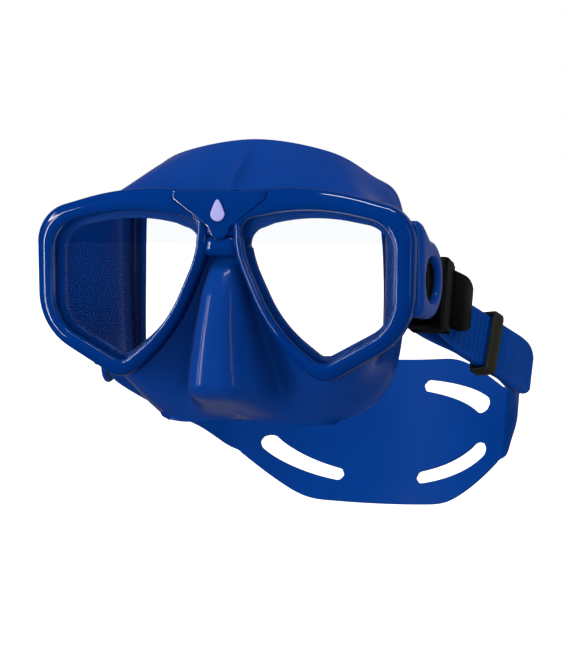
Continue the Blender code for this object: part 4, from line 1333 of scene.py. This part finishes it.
    def half_rings(self) -> Array:
        """Sections of the left half: place = middle + up (across width + edge) + out through / 2."""
        rows, along = self.stations(self.path())
        middle = rows[:, :3]
        heading = np.gradient(middle, axis=0)
        heading /= np.linalg.norm(heading, axis=1)[:, None]
        up = np.array([0.0, 0.0, 1.0]) - heading * heading[:, 2:3]
        up /= np.linalg.norm(up, axis=1)[:, None]
        out = np.cross(heading, up)
        flat, through = self.section()
        half_thick = 0.5 * rows[:, 4]
        end = np.clip((self.tab_round - along) / self.tab_round, 0.0, 1.0)
        half = rows[:, 3] * (1.0 - 0.62 * (1.0 - np.sqrt(1.0 - end ** 2)))
        high = (half - half_thick)[:, None] * flat[:, 0] + half_thick[:, None] * flat[:, 1]
        thick = half_thick[:, None] * through[None, :]
        outer = np.clip(-through, 0.0, 1.0)[None, :]
        thick = thick + self.relief(along, rows[:, 5], flat[:, 0]) * outer
        thick *= (1.0 - 0.55 * smooth_step(end, 0.80, 1.0))[:, None]
        return middle[:, None] + up[:, None] * high[..., None] + out[:, None] * thick[..., None]

    def slot_tool(self, side: float, rise: float) -> Surface:
        """A crescent that follows an ellipse, narrows towards the pad's middle and has round ends.

        Args:
            side: sign of its X.
            rise: sign of its height from the pad's middle.
        """
        turn = np.linspace(*self.slot_turn, 41)
        share = np.linspace(0.0, 1.0, 41)
        width = 0.5 * (self.slot_wide + (self.slot_narrow - self.slot_wide) * share)
        centre = np.stack([self.slot_a * np.cos(turn), self.slot_b * np.sin(turn)], axis=1)
        along = np.gradient(centre, axis=0)
        distance = np.concatenate([[0.0], np.cumsum(np.linalg.norm(np.diff(centre, axis=0), axis=1))])
        near_end = np.minimum(distance, distance[-1] - distance)
        width = width * np.sqrt(np.clip(1.0 - np.clip(1.0 - near_end / width, 0.0, 0.995) ** 2, 0.0, 1.0))
        normal = np.stack([along[:, 1], -along[:, 0]], axis=1)
        normal /= np.linalg.norm(normal, axis=1)[:, None]
        loop = np.concatenate([centre + normal * width[:, None], (centre - normal * width[:, None])[::-1]])
        loop = loop * (side, rise) + (0.0, self.pad_drop)
        return prism(loop, self.pad_end_y - 0.02, self.pad_y_middle + 0.02, Axis.Y)

    def build(self) -> bpy.types.Object:
        """Loft both halves as one moulding, cut the four slots and swing it down."""
        half = self.half_rings()
        other = half[:-1][::-1] * (-1.0, 1.0, 1.0)
        strap = new_object("head_strap", tube(np.concatenate([half, other])))
        clean(strap)
        cut(strap, [self.slot_tool(side, rise) for side in (1.0, -1.0) for rise in (1.0, -1.0)])
        count = len(strap.data.vertices)
        points = np.zeros(count * 3)
        strap.data.vertices.foreach_get("co", points)
        strap.data.vertices.foreach_set("co", swing_down(points.reshape(-1, 3)).ravel())
        strap.data.update()
        dress(strap, STRAP_SILICONE, smooth=50.0)
        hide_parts("strap")
        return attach(strap, "strap_loop")


@dataclass
class Keeper:
    """The keeper: a rounded rectangular ring round the arm and the folded tail."""

    side: Side
    strap: Strap = field(default_factory=Strap)
    at: float = 0.0700
    length: float = 0.0070
    inner: float = -0.0018
    outer: float = 0.0047
    half: float = 0.0120
    wall: float = 0.0017

    def build(self) -> bpy.types.Object:
        """Carry a cushion-shaped section round a rectangle with rounded corners."""
        start, _, along, normal = self.strap.straight()
        up = np.cross(normal, along)
        centre = start + along * (self.at - start[1]) / along[1]
        corners = np.array([(self.inner, -self.half), (self.outer, -self.half), (self.outer, self.half),
                            (self.inner, self.half)])
        middle = corners.mean(axis=0)
        signs = np.sign(corners - middle)
        profile = [(0.0, -0.42), (0.0, 0.42), (0.25, 0.5), (0.75, 0.5), (1.0, 0.36), (1.0, -0.36),
                   (0.75, -0.5), (0.25, -0.5)]
        steps = 14
        rings = []
        for share, reach in profile:
            loop = corners + signs * self.wall * share
            loop = np.concatenate([np.linspace(a, b, steps, endpoint=False)
                                   for a, b in zip(loop, np.roll(loop, -1, axis=0))])
            if share > 0.5:
                for _ in range(2):
                    loop = 0.25 * np.roll(loop, 1, axis=0) + 0.5 * loop + 0.25 * np.roll(loop, -1, axis=0)
            rings.append(centre + loop[:, :1] * normal + loop[:, 1:] * up + along * (self.length * reach))
        keeper = new_object(f"keeper_loop_{self.side.label}",
                            hoop(np.array(rings)).mirrored(self.side).placed(swing_down))
        clean(keeper)
        dress(keeper, GREY_ACETAL, smooth=40.0)
        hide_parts(f"strap_keeper_{self.side.label}")
        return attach(keeper, f"keeper_{self.side.label}")


# ---------------------------------------------------------------- studio
@dataclass
class Studio:
    """Camera, pale floor, soft lights and a white surround."""

    azimuth: float = math.radians(20.0)
    elevation: float = math.radians(3.0)
    aim_right: float = 0.02685
    aim_up: float = -0.0135
    distance: float = 1.0
    lens: float = 136.2
    floor_z: float = -0.60

    def back(self) -> Vector:
        """Direction from the aim to the camera."""
        level = math.cos(self.elevation)
        return Vector((math.sin(self.azimuth) * level, -math.cos(self.azimuth) * level,
                       math.sin(self.elevation)))

    def build_camera(self) -> None:
        """Place the camera at its angle and aim it at the middle of the front, moved right and down."""
        back = self.back()
        right = Vector((math.cos(self.azimuth), math.sin(self.azimuth), 0.0))
        up = back.cross(right)
        aim = Vector((0.0, FACE_Y, 0.0)) + right * self.aim_right + up * self.aim_up
        data = bpy.data.cameras.new("camera")
        data.lens, data.clip_start, data.clip_end = self.lens, 0.05, 60.0
        camera = bpy.data.objects.new("camera", data)
        camera.location = aim + back * self.distance
        camera.rotation_mode = "QUATERNION"
        camera.rotation_quaternion = (-back).to_track_quat("-Z", "Y")
        bpy.context.scene.collection.objects.link(camera)
        bpy.context.scene.camera = camera

    def add_light(self, name: str, place: Sequence[float], size: tuple[float, float], power: float) -> None:
        """Add a rectangular soft box that faces the mask.

        Args:
            name: the lamp's name.
            place: where it stands.
            size: its width and height.
            power: its power in watts.
        """
        data = bpy.data.lights.new(name, "AREA")
        data.shape, data.size, data.size_y, data.energy = "RECTANGLE", size[0], size[1], power
        lamp = bpy.data.objects.new(name, data)
        lamp.location = place
        lamp.rotation_mode = "QUATERNION"
        aim = Vector((0.0, 0.0, -0.02)) - Vector(place)
        lamp.rotation_quaternion = aim.to_track_quat("-Z", "Y")
        bpy.context.scene.collection.objects.link(lamp)

    def build_floor(self) -> None:
        """A wide pale floor well below the mask, left out of its reflections."""
        side = 30.0
        points = np.array([(-side, -side, self.floor_z), (side, -side, self.floor_z),
                           (side, side, self.floor_z), (-side, side, self.floor_z)])
        floor = new_object("floor", Surface(points, [np.array([[0, 1, 2, 3]])]))
        pale = bpy.data.materials.new("pale_floor_paint")
        pale.use_nodes = True
        shader = pale.node_tree.nodes["Principled BSDF"]
        shader.inputs["Base Color"].default_value = linear("#FFFFFF")
        shader.inputs["Roughness"].default_value = 0.9
        shader.inputs["Emission Color"].default_value = linear("#FFFFFF")
        shader.inputs["Emission Strength"].default_value = 0.6
        floor.data.materials.append(pale)
        floor.visible_glossy = False
        floor.visible_diffuse = False

    def build_world(self) -> None:
        """White where it is seen directly or through glass, and a soft gradient where it lights."""
        world = bpy.data.worlds.new("surround")
        bpy.context.scene.world = world
        world.use_nodes = True
        tree = world.node_tree
        path = add_node(tree, "ShaderNodeLightPath")
        direction = add_node(tree, "ShaderNodeTexCoord").outputs["Generated"]
        parts = add_node(tree, "ShaderNodeSeparateXYZ", links={0: direction})
        behind = add_node(tree, "ShaderNodeMapRange", {"interpolation_type": "SMOOTHSTEP", "=From Min": 0.60,
                                                       "=From Max": 1.00, "=To Min": 0.004, "=To Max": 0.20},
                          {"Value": parts.outputs["Y"]})
        fill = add_node(tree, "ShaderNodeMapRange", {"=From Min": -1.0, "=From Max": 1.0, "=To Min": 0.74,
                                                     "=To Max": 0.84}, {"Value": parts.outputs["Z"]})
        glossy = add_node(tree, "ShaderNodeMath", {"operation": "MINIMUM", "=1": 1.0},
                          {0: path.outputs["Glossy Depth"]})
        lit = add_node(tree, "ShaderNodeMix", links={0: glossy.outputs[0], 2: fill.outputs["Result"],
                                                     3: behind.outputs["Result"]})
        straight = add_node(tree, "ShaderNodeMath", {"operation": "MAXIMUM"},
                            {0: path.outputs["Is Camera Ray"], 1: path.outputs["Is Transmission Ray"]})
        bounced = add_node(tree, "ShaderNodeMath", {"operation": "ADD", "use_clamp": True},
                           {0: path.outputs["Diffuse Depth"], 1: path.outputs["Glossy Depth"]})
        seen = add_node(tree, "ShaderNodeMath", {"operation": "SUBTRACT", "use_clamp": True},
                        {0: straight.outputs[0], 1: bounced.outputs[0]})
        strength = add_node(tree, "ShaderNodeMix", {"=3": 1.0}, {0: seen.outputs[0], 2: lit.outputs[0]})
        background = tree.nodes["Background"]
        background.inputs["Color"].default_value = linear("#FFFFFF")
        tree.links.new(strength.outputs[0], background.inputs["Strength"])

    def build(self) -> None:
        """Set up the whole studio."""
        bpy.context.scene.view_settings.view_transform = "Standard"
        self.build_camera()
        self.build_floor()
        self.build_world()
        self.add_light("left_strip", (-0.95, -1.10, 0.15), (0.05, 1.3), 8.0)
        self.add_light("left_strip_outer", (-1.25, -0.85, 0.15), (0.03, 1.3), 3.6)
        self.add_light("top_box", (0.15, -0.45, 1.3), (0.9, 0.10), 6.0)
        self.add_light("right_strip", (1.35, -0.35, 0.35), (0.05, 1.2), 1.0)


def write_sizes() -> None:
    """Bring the view layer up to date."""
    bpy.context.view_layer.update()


def main() -> None:
    """Build every sub-assembly, report its pieces and set up the studio."""
    logging.basicConfig(level=logging.INFO, format="%(name)s %(message)s")
    pieces: list[bpy.types.Object] = []
    pieces += Skirt().build()
    pieces += Bridge().build()
    pieces.append(Strap().build())
    for side in Side:
        pieces += [LensRim(side).build(), Lens(side).build(), Keeper(side).build(), *Buckle(side).build()]
    for piece in pieces:
        report(piece)
    Studio().build()
    write_sizes()


if __name__ == "__main__":
    main()
